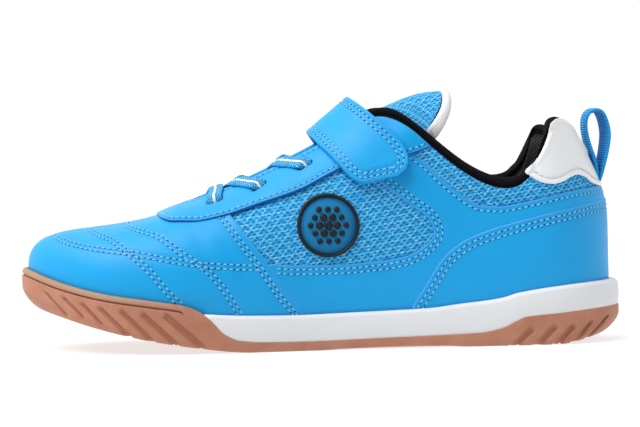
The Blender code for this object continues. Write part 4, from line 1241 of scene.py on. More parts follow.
for seam_name, seams in (
    ("toe", toe_seams), ("vamp", vamp_seams), ("eyestay", [on_pads(seam) for seam in eyestay_seams]),
    ("window", window_seams), ("collar", collar_seams), ("counter", counter_seams),
):
    stitches("stitches_" + seam_name, seams, pale_thread, blue_hole_painted_shade)
stitches("stitches_tab", tab_seams, grey_thread, grey_hole_painted_shade)


# Collar: a black knitted roll with a skirt outside, running on down the inside as a padded lining.
SKIRT = profile([
    (0.0, 0.97), (0.9, 0.97), (1.1, 0.88), (1.5, 0.9), (1.75, 0.985), (2.8, 0.985), (3.6, 0.96), (5.0, 0.955),
])
SKIRT_LIFT = 0.45
LINING_GAP = 0.1
LINING_FACE = 0.7
COLLAR_STEPS = 240


def collar_piece():
    q = np.linspace(-BINDING_START, BINDING_START, COLLAR_STEPS)
    skirt = 1.0 - (1.0 - SKIRT(from_heel(q)))[:, None] * np.linspace(1.0, 0.1, 5)[None, :]
    outside = skin(q[:, None], skirt, SKIRT_LIFT)
    rounds = np.linspace(math.radians(-50.0), math.radians(230.0), 26)
    grid_q, grid_a = np.meshgrid(q, rounds, indexing="ij")
    over = roll(grid_q, grid_a, 0.0)
    down = np.linspace(0.96, 0.35, 14)
    grid_q, grid_t = np.meshgrid(q, down, indexing="ij")
    wall = wall_at(grid_q, grid_t)
    face = skin(grid_q, grid_t, -wall - LINING_FACE)
    back = skin(grid_q, grid_t, -wall - LINING_GAP)[:, ::-1]
    inside = skin(q[:, None], skirt[:, ::-1], LINING_GAP)
    loop = np.concatenate([outside, over, face, back, inside], 1)
    points, faces = capped_tube(loop)
    column = np.arange(len(faces)) % loop.shape[1]
    first = outside.shape[1] + over.shape[1]
    # The face and back down the inside take the lining knit, painted lighter against their shade.
    marks = (column >= first - 1) & (column < first + 2 * len(down))
    marks[-2:] = False
    lining = piece(
        "collar_lining", points, faces, [black_knit, lining_knit_painted_light], marks,
        nodes=["collar_binding"], slot="binding",
    )


collar_piece()

# Tongue: middle of its top face, half width, drop at the sides and thickness.
TongueRow = namedtuple("TongueRow", "x z half drop thick")
TONGUE = [
    TongueRow(-57.0, 52.0, 11.0, 3.0, 2.4), TongueRow(-43.0, 55.8, 14.0, 5.0, 3.0),
    TongueRow(-27.0, 62.1, 15.5, 7.0, 3.5), TongueRow(-10.0, 70.8, 16.5, 10.0, 4.0),
    TongueRow(8.0, 84.4, 16.0, 14.0, 4.4), TongueRow(25.0, 94.2, 14.6, 15.5, 4.4),
    TongueRow(38.6, 99.4, 14.6, 15.5, 4.4), TongueRow(48.6, 100.6, 16.0, 17.0, 4.4),
]
TONGUE_END = len(TONGUE) - 1.0
TONGUE_ROUND = 0.17
TONGUE_STEPS = 150
TONGUE_ACROSS = 61
EDGE_WIDTH = 3.8
EDGE_THICK = 5.4
EDGE_STEPS = 70
EDGE_SIDES = 18
tongue_line = cubic_through(TONGUE)


def tongue_point(number, share, depth):
    """Point of the tongue: row number, share of its half width, depth below its top face."""
    number, share = np.broadcast_arrays(np.asarray(number, float), np.asarray(share, float))
    number = number * (1.0 - TONGUE_ROUND * share ** 4)
    row = tongue_line(number)
    ahead = tongue_line(np.minimum(number + 0.01, TONGUE_END + 0.3)) - tongue_line(number - 0.01)
    slope = np.arctan2(ahead[..., 1], ahead[..., 0])
    half_width = row[..., 2] - 0.5 * depth * np.abs(share)
    sink = row[..., 3] * share ** 2 + depth * row[..., 4] * (1.0 - 0.35 * share ** 2)
    x = row[..., 0] + np.sin(slope) * sink
    z = row[..., 1] - np.cos(slope) * sink
    centre = 1.0 - smooth_step((row[..., 0] + 40.0) / 60.0)
    return np.stack([x, centre + half_width * share, z], -1)


def tongue_piece():
    numbers = np.linspace(0.0, TONGUE_END, TONGUE_STEPS)
    shares = np.linspace(-1.0, 1.0, TONGUE_ACROSS)
    grid_n, grid_s = np.meshgrid(numbers, shares, indexing="ij")
    above = tongue_point(grid_n, grid_s, 0.0)
    under = tongue_point(grid_n, grid_s[:, ::-1], 1.0)
    sides = []
    for first, last, out in ((above[:, -1:], under[:, :1], 1.0), (under[:, -1:], above[:, :1], -1.0)):
        turn = np.linspace(0.0, 1.0, 6)[1:-1]
        bulge = np.zeros((1, len(turn), 3))
        bulge[..., 1] = out * np.sin(math.pi * turn)
        sides.append(first + (last - first) * turn[None, :, None] + bulge)
    loop = np.concatenate([above, sides[0], under, sides[1]], 1)
    points, faces = capped_tube(loop)
    along = run_of(above[:, len(shares) // 2])
    across = run_of(loop[len(numbers) // 2])
    weave = np.stack(np.meshgrid(along, across, indexing="ij"), -1).reshape(-1, 2)
    pad = piece("tongue_pad", points, faces, [mesh_cloth], weave=weave, nodes=["tongue"], slot="mesh")


def tongue_edge_piece():
    shares = np.linspace(-1.0, 1.0, EDGE_STEPS)
    top = tongue_point(TONGUE_END, shares, 0.0)
    low = tongue_point(TONGUE_END, shares, 1.0)
    back = TONGUE_END - 0.05
    before = 0.5 * (tongue_point(back, shares, 0.0) + tongue_point(back, shares, 1.0))
    ahead = unit(0.5 * (top + low) - before)
    thick = unit(top - low)
    middle = 0.5 * (top + low) + ahead * (0.1 + 0.5 * EDGE_WIDTH)
    angles = 2.0 * math.pi * np.arange(EDGE_SIDES) / EDGE_SIDES
    wide = ahead[:, None, :] * (0.5 * EDGE_WIDTH * np.cos(angles))[None, :, None]
    high = thick[:, None, :] * (0.5 * EDGE_THICK * np.sin(angles))[None, :, None]
    points, faces = capped_tube(middle[:, None, :] + wide + high)
    piece("tongue_binding", points, faces, [white_knit], nodes=["tongue_edge"], slot="tab")


tongue_piece()
tongue_edge_piece()

# Strap: its front and rear edges from the lateral end to the ridge.
StrapRow = namedtuple("StrapRow", "front_x front_z rear_x rear_z front_out rear_out")
STRAP = [
    StrapRow(14.8, 64.3, 28.4, 67.2, 27.5, 28.0), StrapRow(10.9, 65.6, 32.3, 69.8, 26.8, 28.0),
    StrapRow(8.4, 68.2, 33.6, 73.4, 25.5, 27.0), StrapRow(5.0, 72.2, 31.4, 79.4, 21.0, 24.0),
    StrapRow(0.2, 77.5, 25.2, 86.0, 14.6, 19.4), StrapRow(-3.4, 82.2, 16.0, 94.2, 7.6, 10.6),
    StrapRow(-4.6, 84.2, 10.8, 99.2, 0.0, 0.0),
]
STRAP_THICK = 2.3
STRAP_CLEAR = 2.5
STRAP_NEAR = 7.0
STRAP_STEPS = 24
STRAP_ACROSS = 3
STRAP_EVEN = 3
STRAP_RADIUS = 0.8
STRAP_SINK = (0.75, 0.5)
# Rows of stitches at these distances from the edge, along this share of the strap.
STRAP_ROWS = (1.9, 3.8)
STRAP_SEWN = 0.9


def kept_off(point, clearance):
    """The point, moved out where it lies closer to the upper than the clearance."""
    place, normal, _, distance = shell_nets.whole.find_nearest(Vector(point))
    height = (Vector(point) - place).dot(normal)
    if height < clearance and distance < STRAP_NEAR:
        return np.array(point) + np.array(normal) * (clearance - height)
    return np.array(point)


def strap_underside():
    """Rows of points over the instep, from the lateral end to the medial one."""
    rows = []
    for side, part in ((-1.0, STRAP), (1.0, STRAP[-2::-1])):
        for row in part:
            front = (row.front_x, side * row.front_out, row.front_z)
            rows.append(front + (row.rear_x, side * row.rear_out, row.rear_z))
    line = cubic_through(rows)
    lower = []
    for value in line(np.linspace(0.0, len(rows) - 1.0, STRAP_STEPS + 1)):
        front, rear = value[:3], value[3:]
        across = [front + (rear - front) * share for share in np.linspace(0.0, 1.0, STRAP_ACROSS + 1)]
        lower.append([kept_off(p, STRAP_CLEAR) for p in across])
    lower = np.array(lower)
    for _ in range(STRAP_EVEN):
        lower[1:-1] = 0.25 * lower[:-2] + 0.5 * lower[1:-1] + 0.25 * lower[2:]
        for place in np.ndindex(lower.shape[:2]):
            lower[place] = kept_off(lower[place], STRAP_CLEAR)
    return lower


def edge_spread(count, near):
    """Shares from 0 to 1 that crowd towards both ends."""
    share = np.linspace(0.0, 1.0, count)
    return share - near * np.sin(2.0 * math.pi * share) / (2.0 * math.pi)


def strap_piece():
    lower = strap_underside()
    lines = cubic_through(lower.reshape(STRAP_STEPS + 1, -1))
    numbers = STRAP_STEPS * edge_spread(170, 0.55)
    coarse = lines(numbers).reshape(len(numbers), STRAP_ACROSS + 1, 3)
    across = cubic_through(np.moveaxis(coarse, 1, 0).reshape(STRAP_ACROSS + 1, -1))
    shares = STRAP_ACROSS * edge_spread(44, 0.8)
    base = np.moveaxis(across(shares).reshape(len(shares), len(numbers), 3), 0, 1)
    up = unit(np.cross(np.gradient(base, axis=0), np.gradient(base, axis=1)))
    if up[len(numbers) // 2, len(shares) // 2, 2] < 0.0:
        up = -up
    rim = np.concatenate([base[::-1, 0], base[0, 1:], base[1:, -1], base[-1, -2::-1]])
    rim = respaced(rim, 0.4)
    rows, columns = base.shape[:2]
    count = rows * columns
    off = segment_distance(base.reshape(-1, 3), rim[:-1], rim[1:]).reshape(rows, columns)
    curve = np.clip(1.0 - off / STRAP_RADIUS, 0.0, 1.0)
    rounded = 1.0 - np.sqrt(1.0 - curve ** 2)
    height = STRAP_THICK - STRAP_SINK[0] * rounded
    for row in STRAP_ROWS:
        height = height - SEAM_DENT * np.exp(-((off - row) / SEAM_SPREAD) ** 2)
    top = base + up * height[..., None]
    bottom = base + up * (STRAP_SINK[1] * rounded)[..., None]
    faces = grid_faces(rows, columns)
    faces += [face[::-1] for face in grid_faces(rows, columns, first=count)]
    border = list(range(columns)) + [(i + 1) * columns - 1 for i in range(1, rows)]
    border += list(range(rows * columns - 2, (rows - 1) * columns - 1, -1))
    border += [i * columns for i in range(rows - 2, 0, -1)]
    for a, b in zip(border, border[1:] + border[:1]):
        faces.append((b, a, a + count, b + count))
    points = np.concatenate([top.reshape(-1, 3), bottom.reshape(-1, 3)])
    piece("instep_strap", points, faces, [blue_leather], nodes=["strap"], slot="panel")
    even = (base + up * STRAP_THICK).reshape(-1, 3)
    net = BVHTree.FromPolygons([Vector(p) for p in even], grid_faces(rows, columns))
    end = int(STRAP_SEWN * rows)
    inner = respaced(np.concatenate([base[end:0:-1, 0], base[0], base[1:end, -1]]), 0.4)
    stitches("stitches_strap", [Seam(*beside(net, inner, row)) for row in STRAP_ROWS], pale_thread, blue_hole_painted_shade)


strap_piece()

# Laces: a bar at the front, then crossings that lie over one side and go under the other.
LACE_WIDTH = 6.2
LACE_THICK = 1.5
LACE_LIFT = EYESTAY.high + 0.5 * LACE_THICK + 0.1
LACE_UNDER = -WALL - 1.0
LACE_SIDES = 18
LACE_STEP = 0.5
LACE_EVEN = 6
THROAT = np.linspace(4.0, HALF, 120)
# From eyelet to eyelet, medial ones negative: the rise over the throat and the lean along the shoe.
Strand = namedtuple("Strand", "first last under rise lean")
STRANDS = [
    Strand(1, -1, False, 0.6, 2.2), Strand(2, -1, True, 1.8, -6.6), Strand(3, -2, True, 1.8, -7.6),
    Strand(-2, 1, True, -0.85, -6.6), Strand(-3, 2, True, -0.85, -7.6),
]


def throat_edge(x, side, lift):
    """Point off the edge of the throat at x, on one side."""
    q = np.interp(-x, -top_at(THROAT)[:, 0], THROAT)
    return skin(q if side < 0 else TURN - q, 1.0, lift)


def lace_start(number, lean):
    """Points of a strand from inside its slot over the flap to the edge of the throat."""
    side = -1.0 if number > 0 else 1.0
    slot = SLOTS[abs(number) - 1]
    net = eyestay_nets.lateral if number > 0 else eyestay_nets.medial
    place, normal = [np.array(v) for v in seen(net, side, slot.x, slot.z)]
    edge = throat_edge(slot.x + lean, side, LACE_LIFT)
    over = place + normal * (LACE_LIFT - EYESTAY.high)
    first = [place - normal * 3.0, place - normal * 0.6, over + (edge - place) * 0.12]
    return first + [over + (edge - over) * 0.5, edge]


def lace_rows(strand):
    """Points of a whole strand; one that goes under ends inside the far edge of the throat."""
    side = -1.0 if strand.first > 0 else 1.0
    reach = SLOTS[abs(strand.last) - 1].x - SLOTS[abs(strand.first) - 1].x
    rows = lace_start(strand.first, strand.lean)
    if strand.under:
        far = SLOTS[abs(strand.last) - 1].x
        turns = ((far - 0.1 * reach, LACE_UNDER), (far + 0.05 * reach, LACE_UNDER - 1.5))
        rest = [throat_edge(x, -side, lift) for x, lift in turns]
    else:
        rest = lace_start(strand.last, strand.lean)[::-1]
    middle = 0.5 * (rows[-1] + rest[0]) + (0.0, 0.0, strand.rise)
    return rows + [middle] + rest


def lace_flat(strand, line, along):
    """Direction across the lace: along the slot in its hole, flat on the flap elsewhere."""
    normals = np.pad(nearest(eyestay_nets.whole, line)[1], ((LACE_EVEN, LACE_EVEN), (0, 0)), "edge")
    even = np.ones(2 * LACE_EVEN + 1)
    normals = unit(np.column_stack([np.convolve(column, even, "valid") for column in normals.T]))
    slot = SLOTS[abs(strand.first) - 1]
    hole = np.array([slot.dx, 0.0, slot.dz])
    flat = np.cross(normals, along)
    flat = flat * np.sign(np.sum(flat @ hole))
    flat = flat + hole * np.clip(1.0 - np.linalg.norm(flat, axis=1), 0.0, 1.0)[:, None]
    return unit(flat - along * np.sum(flat * along, 1)[:, None])


def lace_piece():
    all_points = []
    all_faces = []
    weave = []
    angles = 2.0 * math.pi * np.arange(LACE_SIDES) / LACE_SIDES
    wide = 0.5 * LACE_WIDTH * np.sign(np.cos(angles)) * np.abs(np.cos(angles)) ** 0.6
    thick = 0.5 * LACE_THICK * np.sign(np.sin(angles)) * np.abs(np.sin(angles)) ** 0.8
    for strand in STRANDS:
        line = respaced(line_through(lace_rows(strand), 0.3), LACE_STEP)
        along = unit(np.gradient(line, axis=0))
        flat = lace_flat(strand, line, along)
        up = np.cross(flat, along)
        section = flat[:, None, :] * wide[None, :, None] + up[:, None, :] * thick[None, :, None]
        points, faces = capped_tube(line[:, None, :] + section)
        start = sum(len(p) for p in all_points)
        all_faces += [tuple(start + i for i in face) for face in faces]
        all_points.append(points)
        run = LACE_STEP * np.arange(len(line))
        weave.append(np.stack(np.meshgrid(run, wide, indexing="ij"), -1).reshape(-1, 2))
    piece(
        "lace_strands", np.concatenate(all_points), all_faces, [lace_cloth], weave=np.concatenate(weave),
        nodes=["laces"], slot="webbing",
    )


lace_piece()

# Pull loop of ribbed webbing at the back of the heel.
LOOP_LINE = [
    (111.0, 63.6), (110.2, 69.8), (108.6, 75.8), (107.0, 82.0), (106.6, 87.0), (107.7, 90.5), (110.3, 92.0),
    (112.8, 90.9), (114.3, 87.4), (115.1, 82.9), (114.7, 77.7), (113.2, 70.4),
]
LOOP_THICK = 1.2
LOOP_WIDTH = 12.0
LOOP_RIB = 0.95
LOOP_RIB_STEPS = 8
LOOP_RELIEF = 0.2
LOOP_HEM = 0.25
# The legs of the loop twist a little: how far their sides shear per width, at the front and at the back.
LOOP_SHEAR = [(106.0, -0.01), (115.5, 0.18)]


def loop_piece():
    line = cubic_through(LOOP_LINE, closed=True)
    numbers = np.linspace(0.0, len(LOOP_LINE), 3001)
    run = run_of(line(numbers))
    ribs = round(run[-1] / LOOP_RIB)
    count = ribs * LOOP_RIB_STEPS
    at = np.interp(np.arange(count) * run[-1] / count, run, numbers)
    middle = line(at)
    along = unit(line(at + 1e-3) - line(at - 1e-3))
    out = np.stack([-along[:, 1], along[:, 0]], 1)
    height = LOOP_RELIEF * np.abs(np.sin(math.pi * ribs * np.arange(count) / count))
    across = np.linspace(-0.5, 0.5, 13)
    edge = 1.0 - fade(np.abs(across), 0.40, 0.48)
    relief = height[:, None] * edge[None, :] - LOOP_HEM * (np.abs(across) > 0.49)
    y = np.broadcast_to(across * LOOP_WIDTH, relief.shape)
    shear = np.interp(middle[:, :1], *np.transpose(LOOP_SHEAR))
    sections = []
    for face, order in ((-1.0, 1), (1.0, -1)):
        lift = face * (0.5 * LOOP_THICK + relief)
        place = middle[:, None, :] + out[:, None, :] * lift[..., None]
        sections.append(np.stack([place[..., 0] - y * shear, y, place[..., 1]], -1)[:, ::order])
    loop = np.concatenate(sections, 1)
    faces = grid_faces(count, loop.shape[1], closed_rows=True, closed_columns=True)
    wide = LOOP_WIDTH * np.concatenate([across, across[::-1]])
    weave = np.stack(np.meshgrid(ribs * np.arange(count) / count, wide, indexing="ij"), -1).reshape(-1, 2)
    points = loop.reshape(-1, 3)
    piece("heel_pull_loop", points, faces, [webbing], weave=weave, nodes=["pull_loop"], slot="webbing")


loop_piece()

# Badge: a rubber ring round a woven field with a plain pattern of dots.
BADGE_CENTRE = (0.8, 48.3)
BADGE_RING = [(11.0, 0.3), (11.03, 1.2), (11.2, 1.7), (11.65, 1.9), (12.05, 1.65), (12.25, 1.1), (12.3, 0.3)]
BADGE_FIELD = [(11.2, 0.3), (11.2, 0.85), (7.0, 0.95), (3.5, 1.0), (0.02, 1.0), (0.02, 0.3)]
RING_SIDES = 96
DOT_PITCH = 3.5
DOT_RADII = (1.75, 1.5, 1.15)
DOT_DOME = [(1.0, 0.85), (0.97, 1.35), (0.8, 1.7), (0.5, 1.85), (0.02, 1.9), (0.02, 0.85)]
DOT_SIDES = 20


def turned_ring(x, z, radius, rows, sides):
    """Points of a ring with this section, laid on the side of the upper round a place on the badge."""
    points = []
    for j in range(sides):
        angle = 2.0 * math.pi * j / sides
        for share, lift in rows:
            out_x = x + share * radius * math.cos(angle)
            out_z = z + share * radius * math.sin(angle)
            place, normal = seen(shell_nets.lateral, -1.0, BADGE_CENTRE[0] + out_x, BADGE_CENTRE[1] + out_z)
            points.append(np.array(place) + np.array(normal) * lift)
    return points


def badge_ring(name, rows, shade, **facts):
    points = turned_ring(0.0, 0.0, 1.0, rows, RING_SIDES)
    faces = grid_faces(RING_SIDES, len(rows), closed_rows=True, closed_columns=True)
    piece(name, points, faces, [shade], **facts)


def badge_dots():
    """Dots in a hexagon, smaller in its outer rings."""
    points = []
    faces = []
    for row in range(-2, 3):
        for column in range(-2, 3):
            ring = max(abs(row), abs(column), abs(row + column))
            if ring > 2:
                continue
            faces += grid_faces(DOT_SIDES, len(DOT_DOME), len(points), closed_rows=True, closed_columns=True)
            x = DOT_PITCH * (column + 0.5 * row)
            z = DOT_PITCH * math.sqrt(0.75) * row
            points += turned_ring(x, z, DOT_RADII[ring], DOT_DOME, DOT_SIDES)
    piece("badge_dots", points, faces, [black_rubber], slot="badge")


badge_ring("badge_ring", BADGE_RING, black_rubber, nodes=["badge"], slot="badge")
badge_ring("badge_disc", BADGE_FIELD, badge_field)
badge_dots()

# Sole.
LIP_BAND = 2.2
LIP_GROOVE = 1.3
LIP_FADE = (-57.4, -56.4)
# Towards the toe the top of the lip takes a painted highlight, fading out between these x.
LIP_HIGHLIGHT_FADE = (-80.0, -57.0)
CUP_WALL_LOW = 4.0
CUP_WALL_TOP = 2.2
CUP_FLOOR = 2.2
CUP_LEAST = 0.8
MIDSOLE_GAP = 0.3
MIDSOLE_EDGE = 1.8
MIDSOLE_BULGE = 0.35
FOOTBED_SECTION = [(0.0, 0.5), (0.0, 2.6), (0.5, 3.3), (1.6, 3.5), (4.0, 3.2)]
Flute = namedtuple("Flute", "x_top z_top x_low z_low width")
FLUTES = [
    Flute(-110.9, 23.7, -102.7, 15.2, 1.1), Flute(-104.1, 21.8, -96.4, 14.2, 1.5),
    Flute(-96.8, 19.6, -89.1, 11.5, 1.6), Flute(-90.1, 17.8, -78.1, 6.2, 2.0),
    Flute(-81.9, 16.6, -69.4, 4.3, 2.2), Flute(-73.7, 15.2, -60.1, 2.7, 2.5),
    Flute(-65.2, 14.5, -50.4, 1.5, 3.0), Flute(79.9, 8.0, 69.5, -1.1, 2.8),
    Flute(89.3, 9.1, 78.4, -1.4, 3.0), Flute(96.7, 8.9, 86.6, -1.6, 2.8),
    Flute(104.7, 9.9, 93.9, -1.4, 2.0), Flute(112.7, 11.3, 100.0, -0.1, 1.1),
]
FLUTE_DEPTH = 1.1
FLUTE_NOTCH = 0.9
TREAD_FORE = (-80.0, -62.0, -44.0, -26.0, -8.0)
TREAD_HEEL = (58.0, 74.0, 90.0)
TREAD_WIDTH = 2.4
TREAD_DEPTH = 1.1
TREAD_CHEVRON = 7.0 / 60.0
TREAD_RIPPLE = 3.6
TREAD_RIPPLE_DEPTH = 0.45
# The ripples fade out towards the toe, and fade in at a distance from the middle of the plain waist.
RIPPLE_TOE = (-74.0, -66.0)
WAIST = 25.0
RIPPLE_WAIST = (24.0, 36.0)
SOLE_STEPS = 400
TREAD_ACROSS = 40
DECK_ACROSS = 6
FOOTBED_ACROSS = 8

half_q = np.linspace(0.0, HALF, SOLE_STEPS + 1)
sole_q = np.concatenate([half_q, TURN - half_q[-2:0:-1]])
sole_x = outline(sole_q)[:, 0]
lip = 1.0 - fade(sole_x, *LIP_FADE)
lip_painted_highlight = 1.0 - fade(sole_x, *LIP_HIGHLIGHT_FADE)
cup_floor = np.minimum(underside(sole_x) + CUP_FLOOR, gum_top(sole_x) - CUP_LEAST)


def ring_at(inset_by, z):
    """A ring of points inside the outline at these heights."""
    return np.column_stack([inset(sole_q, np.broadcast_to(inset_by, sole_q.shape)), z])


def decked(rings, bottom_across, top_across, bottom_height=None):
    """A closed solid of stacked rings whose ends are decks from side to side."""
    count, around = rings.shape[:2]
    points = [rings.reshape(-1, 3)]
    faces = grid_faces(count, around, closed_columns=True)
    total = count * around
    for ring, across, height in ((0, bottom_across, bottom_height), (count - 1, top_across, None)):
        shares = np.linspace(0.0, 1.0, across + 1)[1:-1]
        left = rings[ring, 1:SOLE_STEPS]
        right = rings[ring, :SOLE_STEPS:-1]
        inner = left[:, None, :] + (right - left)[:, None, :] * shares[None, :, None]
        if height is not None:
            inner[..., 2] = height(inner[..., 0], inner[..., 1])
        points.append(inner.reshape(-1, 3))
        index = np.zeros((SOLE_STEPS + 1, across + 1), int)
        index[0] = ring * around
        index[-1] = ring * around + SOLE_STEPS
        index[1:-1, 0] = ring * around + np.arange(1, SOLE_STEPS)
        index[1:-1, -1] = ring * around + np.arange(around - 1, SOLE_STEPS, -1)
        index[1:-1, 1:-1] = total + np.arange(inner.shape[0] * inner.shape[1]).reshape(inner.shape[:2])
        total += inner.shape[0] * inner.shape[1]
        for i in range(SOLE_STEPS):
            for j in range(across):
                corners = (index[i, j], index[i, j + 1], index[i + 1, j + 1], index[i + 1, j])
                corners = tuple(dict.fromkeys(int(c) for c in corners))
                if len(corners) > 2:
                    faces.append(corners)
    return np.concatenate(points), faces


def flute_share(x, z):
    """How deep the slanted flutes cut the gum wall at side-view places, from 0 to 1."""
    deepest = np.zeros(len(x))
    for flute in FLUTES:
        along, across, length = along_line(x, z, *flute[:4])
        across = across / flute.width
        wedge = (0.6 + 0.4 * across) * fade(across, 0.0, 0.25) * (1.0 - fade(across, 0.85, 1.1))
        ends = fade(along, -0.4, 1.4) * (1.0 - fade(along, length - 0.2, length + 1.6))
        deepest = np.maximum(deepest, wedge * ends)
    return deepest


def tread(x, y):
    """Height of the tread: a few deep chevrons, with fine ripples under the ball and the heel."""
    slope = x - TREAD_CHEVRON * np.abs(y)
    depth = TREAD_RIPPLE_DEPTH * smooth_step(np.abs(np.mod(slope / TREAD_RIPPLE, 1.0) - 0.5) * 4.0 - 1.2)
    depth = depth * fade(np.abs(x - WAIST), *RIPPLE_WAIST) * fade(x, *RIPPLE_TOE)
    for middle in TREAD_FORE + TREAD_HEEL:
        off = np.abs(slope - middle)
        depth = np.maximum(depth, TREAD_DEPTH * smooth_step((0.5 * TREAD_WIDTH - off) / 0.5 + 0.5))
    return underside(x) + depth


def outsole_piece():
    edge = tread_inset(sole_x)
    under = underside(sole_x)
    top = gum_top(sole_x)
    wall = top - under
    rings = []
    shares = []

    def ring(inset_by, z, fluted, highlight_share=0.0, notch=0.0):
        cut = flute_share(ring_at(inset_by, z)[:, 0], z) if fluted else np.zeros(len(sole_q))
        rings.append(ring_at(inset_by + FLUTE_DEPTH * cut, z + notch * cut))
        # A ring carries the depth of its flutes, for their painted shade, and its share of the painted
        # highlight on the lip.
        shares.append(np.column_stack([cut, highlight_share * lip_painted_highlight]))

    shoulder = under + np.minimum(edge, 0.52 * wall)
    for turn in np.linspace(0.0, 0.5 * math.pi, 12):
        flat = 1.0 - math.sin(turn)
        low = underside(inset(sole_q, edge * flat)[:, 0])
        ring(edge * flat, low + (shoulder - low) * (1.0 - math.cos(turn)), True, notch=FLUTE_NOTCH * flat)
    groove_low = lip * (top - LIP_BAND - 0.8) + (1.0 - lip) * (under + 0.72 * wall)
    for share in np.linspace(0.0, 1.0, 21)[1:]:
        ring(0.0, shoulder + (groove_low - shoulder) * share, True)
    groove_high = lip * (top - LIP_BAND + 0.2) + (1.0 - lip) * (under + 0.84 * wall)
    for share in np.linspace(0.0, 1.0, 7)[1:]:
        depth = lip * (LIP_GROOVE * math.sin(math.pi * share) ** 2 + 0.1 * share)
        ring(depth, groove_low + (groove_high - groove_low) * share, False, float(share > 0.9))
    for turn in np.linspace(0.0, 0.5 * math.pi, 7)[1:]:
        rounded = (0.3 + 0.9 * lip) * (1.0 - math.cos(turn))
        ring(0.1 * lip + rounded, groove_high + (top - groove_high) * math.sin(turn), False, 1.0)
    ring(CUP_WALL_TOP, top, False)
    ring(CUP_WALL_LOW, cup_floor, False)
    points, faces = decked(np.array(rings), TREAD_ACROSS, DECK_ACROSS, tread)
    weave = np.zeros((len(points), 2))
    weave[:len(rings) * len(sole_q)] = np.concatenate(shares)
    piece("outsole_rubber", points, faces, [gum_rubber], weave=weave, nodes=["outsole"], slot="gum")


def midsole_piece():
    top = midsole_top(sole_x)
    lip_top = gum_top(sole_x) + 0.05
    shown = np.maximum(top - lip_top, 0.2)
    ledge = 0.1 + np.minimum(CUP_WALL_TOP + MIDSOLE_GAP, 0.15 + 2.0 * (1.0 - fade(shown, 0.2, 1.6)))
    rings = [
        ring_at(CUP_WALL_LOW + MIDSOLE_GAP, cup_floor + 0.15),
        ring_at(CUP_WALL_TOP + MIDSOLE_GAP, np.minimum(lip_top, top - 0.6)),
    ]
    for share in np.linspace(0.0, 1.0, 11):
        bulge = MIDSOLE_BULGE * math.sin(math.pi * share) * (shown > 4.0)
        z = lip_top + (top - MIDSOLE_EDGE - lip_top) * share
        rings.append(ring_at(ledge - bulge, np.minimum(z, top - 0.5)))
    for turn in np.linspace(0.0, 0.5 * math.pi, 8)[1:]:
        rounded = 2.0 * (1.0 - math.cos(turn))
        rings.append(ring_at(np.minimum(ledge + rounded, 4.4), top - MIDSOLE_EDGE * (1.0 - math.sin(turn))))
    rings.append(ring_at(6.0, top))
    points, faces = decked(np.array(rings), DECK_ACROSS, DECK_ACROSS)
    piece("midsole_foam", points, faces, [white_foam], nodes=["midsole"], slot="foam")


def footbed_piece():
    edge = feather_inset(sole_x) + WALL + 0.6
    rings = []
    for further, rise in FOOTBED_SECTION:
        plan = inset(sole_q, edge + further)
        rings.append(np.column_stack([plan, midsole_top(plan[:, 0]) + rise]))
    points, faces = decked(np.array(rings), FOOTBED_ACROSS, FOOTBED_ACROSS)
    piece("footbed", points, faces, [footbed_cloth], nodes=["insole"], slot="footbed")


outsole_piece()
midsole_piece()
footbed_piece()


# Stage: a pale floor, soft light and the photograph's view.
FLOOR_REACH = 6.0
FLOOR_GREY = (0.34, 0.34, 0.34)
FLOOR_GLOW = 0.7


def stage_floor():
    mesh = bpy.data.meshes.new("floor")
    corners = [(x * FLOOR_REACH, y * FLOOR_REACH, 0.0) for x, y in ((-1, -1), (1, -1), (1, 1), (-1, 1))]
    mesh.from_pydata(corners, [], [(0, 1, 2, 3)])
    pale = finish(
        "pale_floor", FLOOR_GREY, 0.9, Specular_IOR_Level=0.0, Emission_Color=(1.0, 1.0, 1.0, 1.0),
        Emission_Strength=FLOOR_GLOW,
    )
    mesh.materials.append(pale)
    floor = bpy.data.objects.new("floor", mesh)
    bpy.context.scene.collection.objects.link(floor)


def soft_sun(name, toward, strength, spread):
    """A wide soft light from far away."""
    lamp = bpy.data.lights.new(name, "SUN")
    lamp.energy = strength
    lamp.angle = math.radians(spread)
    light = bpy.data.objects.new(name, lamp)
    light.rotation_euler = (-Vector(toward)).to_track_quat("-Z", "Y").to_euler()
    bpy.context.scene.collection.objects.link(light)


WORLD_NEAR = 0.22
WORLD_FAR = 1.05
VIEW_AZIMUTH = math.radians(-4.0)
VIEW_ELEVATION = math.radians(2.0)
VIEW_ROLL = math.radians(0.9)
VIEW_DISTANCE = 1.2
VIEW_TARGET = Vector((0.0, 0.0, 0.046))
PIXEL = 0.0004
TARGET_OFF = (1.0, 15.8)
FRAME_WIDTH = 640
SENSOR = 36.0


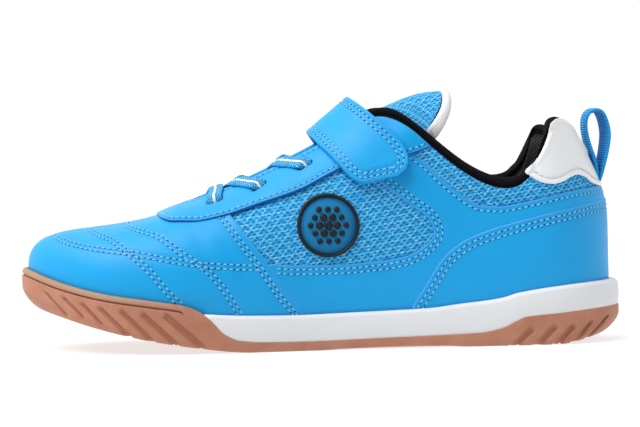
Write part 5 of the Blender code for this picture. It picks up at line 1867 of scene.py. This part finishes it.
def stage_camera():
    """The photograph's camera: the target lies a few pixels off the middle of the frame."""
    back = Vector((
        math.sin(VIEW_AZIMUTH) * math.cos(VIEW_ELEVATION), -math.cos(VIEW_AZIMUTH) * math.cos(VIEW_ELEVATION),
        math.sin(VIEW_ELEVATION),
    ))
    right = (-back).cross(Vector((0.0, 0.0, 1.0))).normalized()
    up = right.cross(-back)
    rolled_right = right * math.cos(VIEW_ROLL) - up * math.sin(VIEW_ROLL)
    rolled_up = right * math.sin(VIEW_ROLL) + up * math.cos(VIEW_ROLL)
    place = VIEW_TARGET + back * VIEW_DISTANCE
    aim = VIEW_TARGET + (rolled_up * TARGET_OFF[1] - rolled_right * TARGET_OFF[0]) * PIXEL
    forward = (aim - place).normalized()
    side = forward.cross(rolled_up).normalized()
    top = side.cross(forward)
    data = bpy.data.cameras.new("camera")
    data.sensor_width = SENSOR
    data.lens = SENSOR * VIEW_DISTANCE / (FRAME_WIDTH * PIXEL)
    camera = bpy.data.objects.new("camera", data)
    turn = Matrix((side, top, -forward)).transposed()
    camera.matrix_world = Matrix.Translation(place) @ turn.to_4x4()
    bpy.context.scene.collection.objects.link(camera)
    bpy.context.scene.camera = camera


def stage_world():
    """A white studio: bright behind and above the shoe, dimmer on the camera's side."""
    world = bpy.data.worlds.new("studio")
    world.use_nodes = True
    tree = world.node_tree
    toward = tree.nodes.new("ShaderNodeTexCoord")
    parts = tree.nodes.new("ShaderNodeSeparateXYZ")
    strength = tree.nodes.new("ShaderNodeMapRange")
    strength.interpolation_type = "SMOOTHSTEP"
    limits = {"From Min": -0.7, "From Max": 0.4, "To Min": WORLD_NEAR, "To Max": WORLD_FAR}
    for socket, value in limits.items():
        strength.inputs[socket].default_value = value
    tree.links.new(toward.outputs["Generated"], parts.inputs[0])
    tree.links.new(parts.outputs["Y"], strength.inputs["Value"])
    background = tree.nodes["Background"]
    background.inputs["Color"].default_value = (1.0, 1.0, 1.0, 1.0)
    tree.links.new(strength.outputs["Result"], background.inputs["Strength"])
    bpy.context.scene.world = world
    bpy.context.scene.view_settings.view_transform = "Standard"


stage_floor()
stage_world()
soft_sun("overhead", (-0.5, -0.3, 1.0), 2.8, 50.0)
stage_camera()
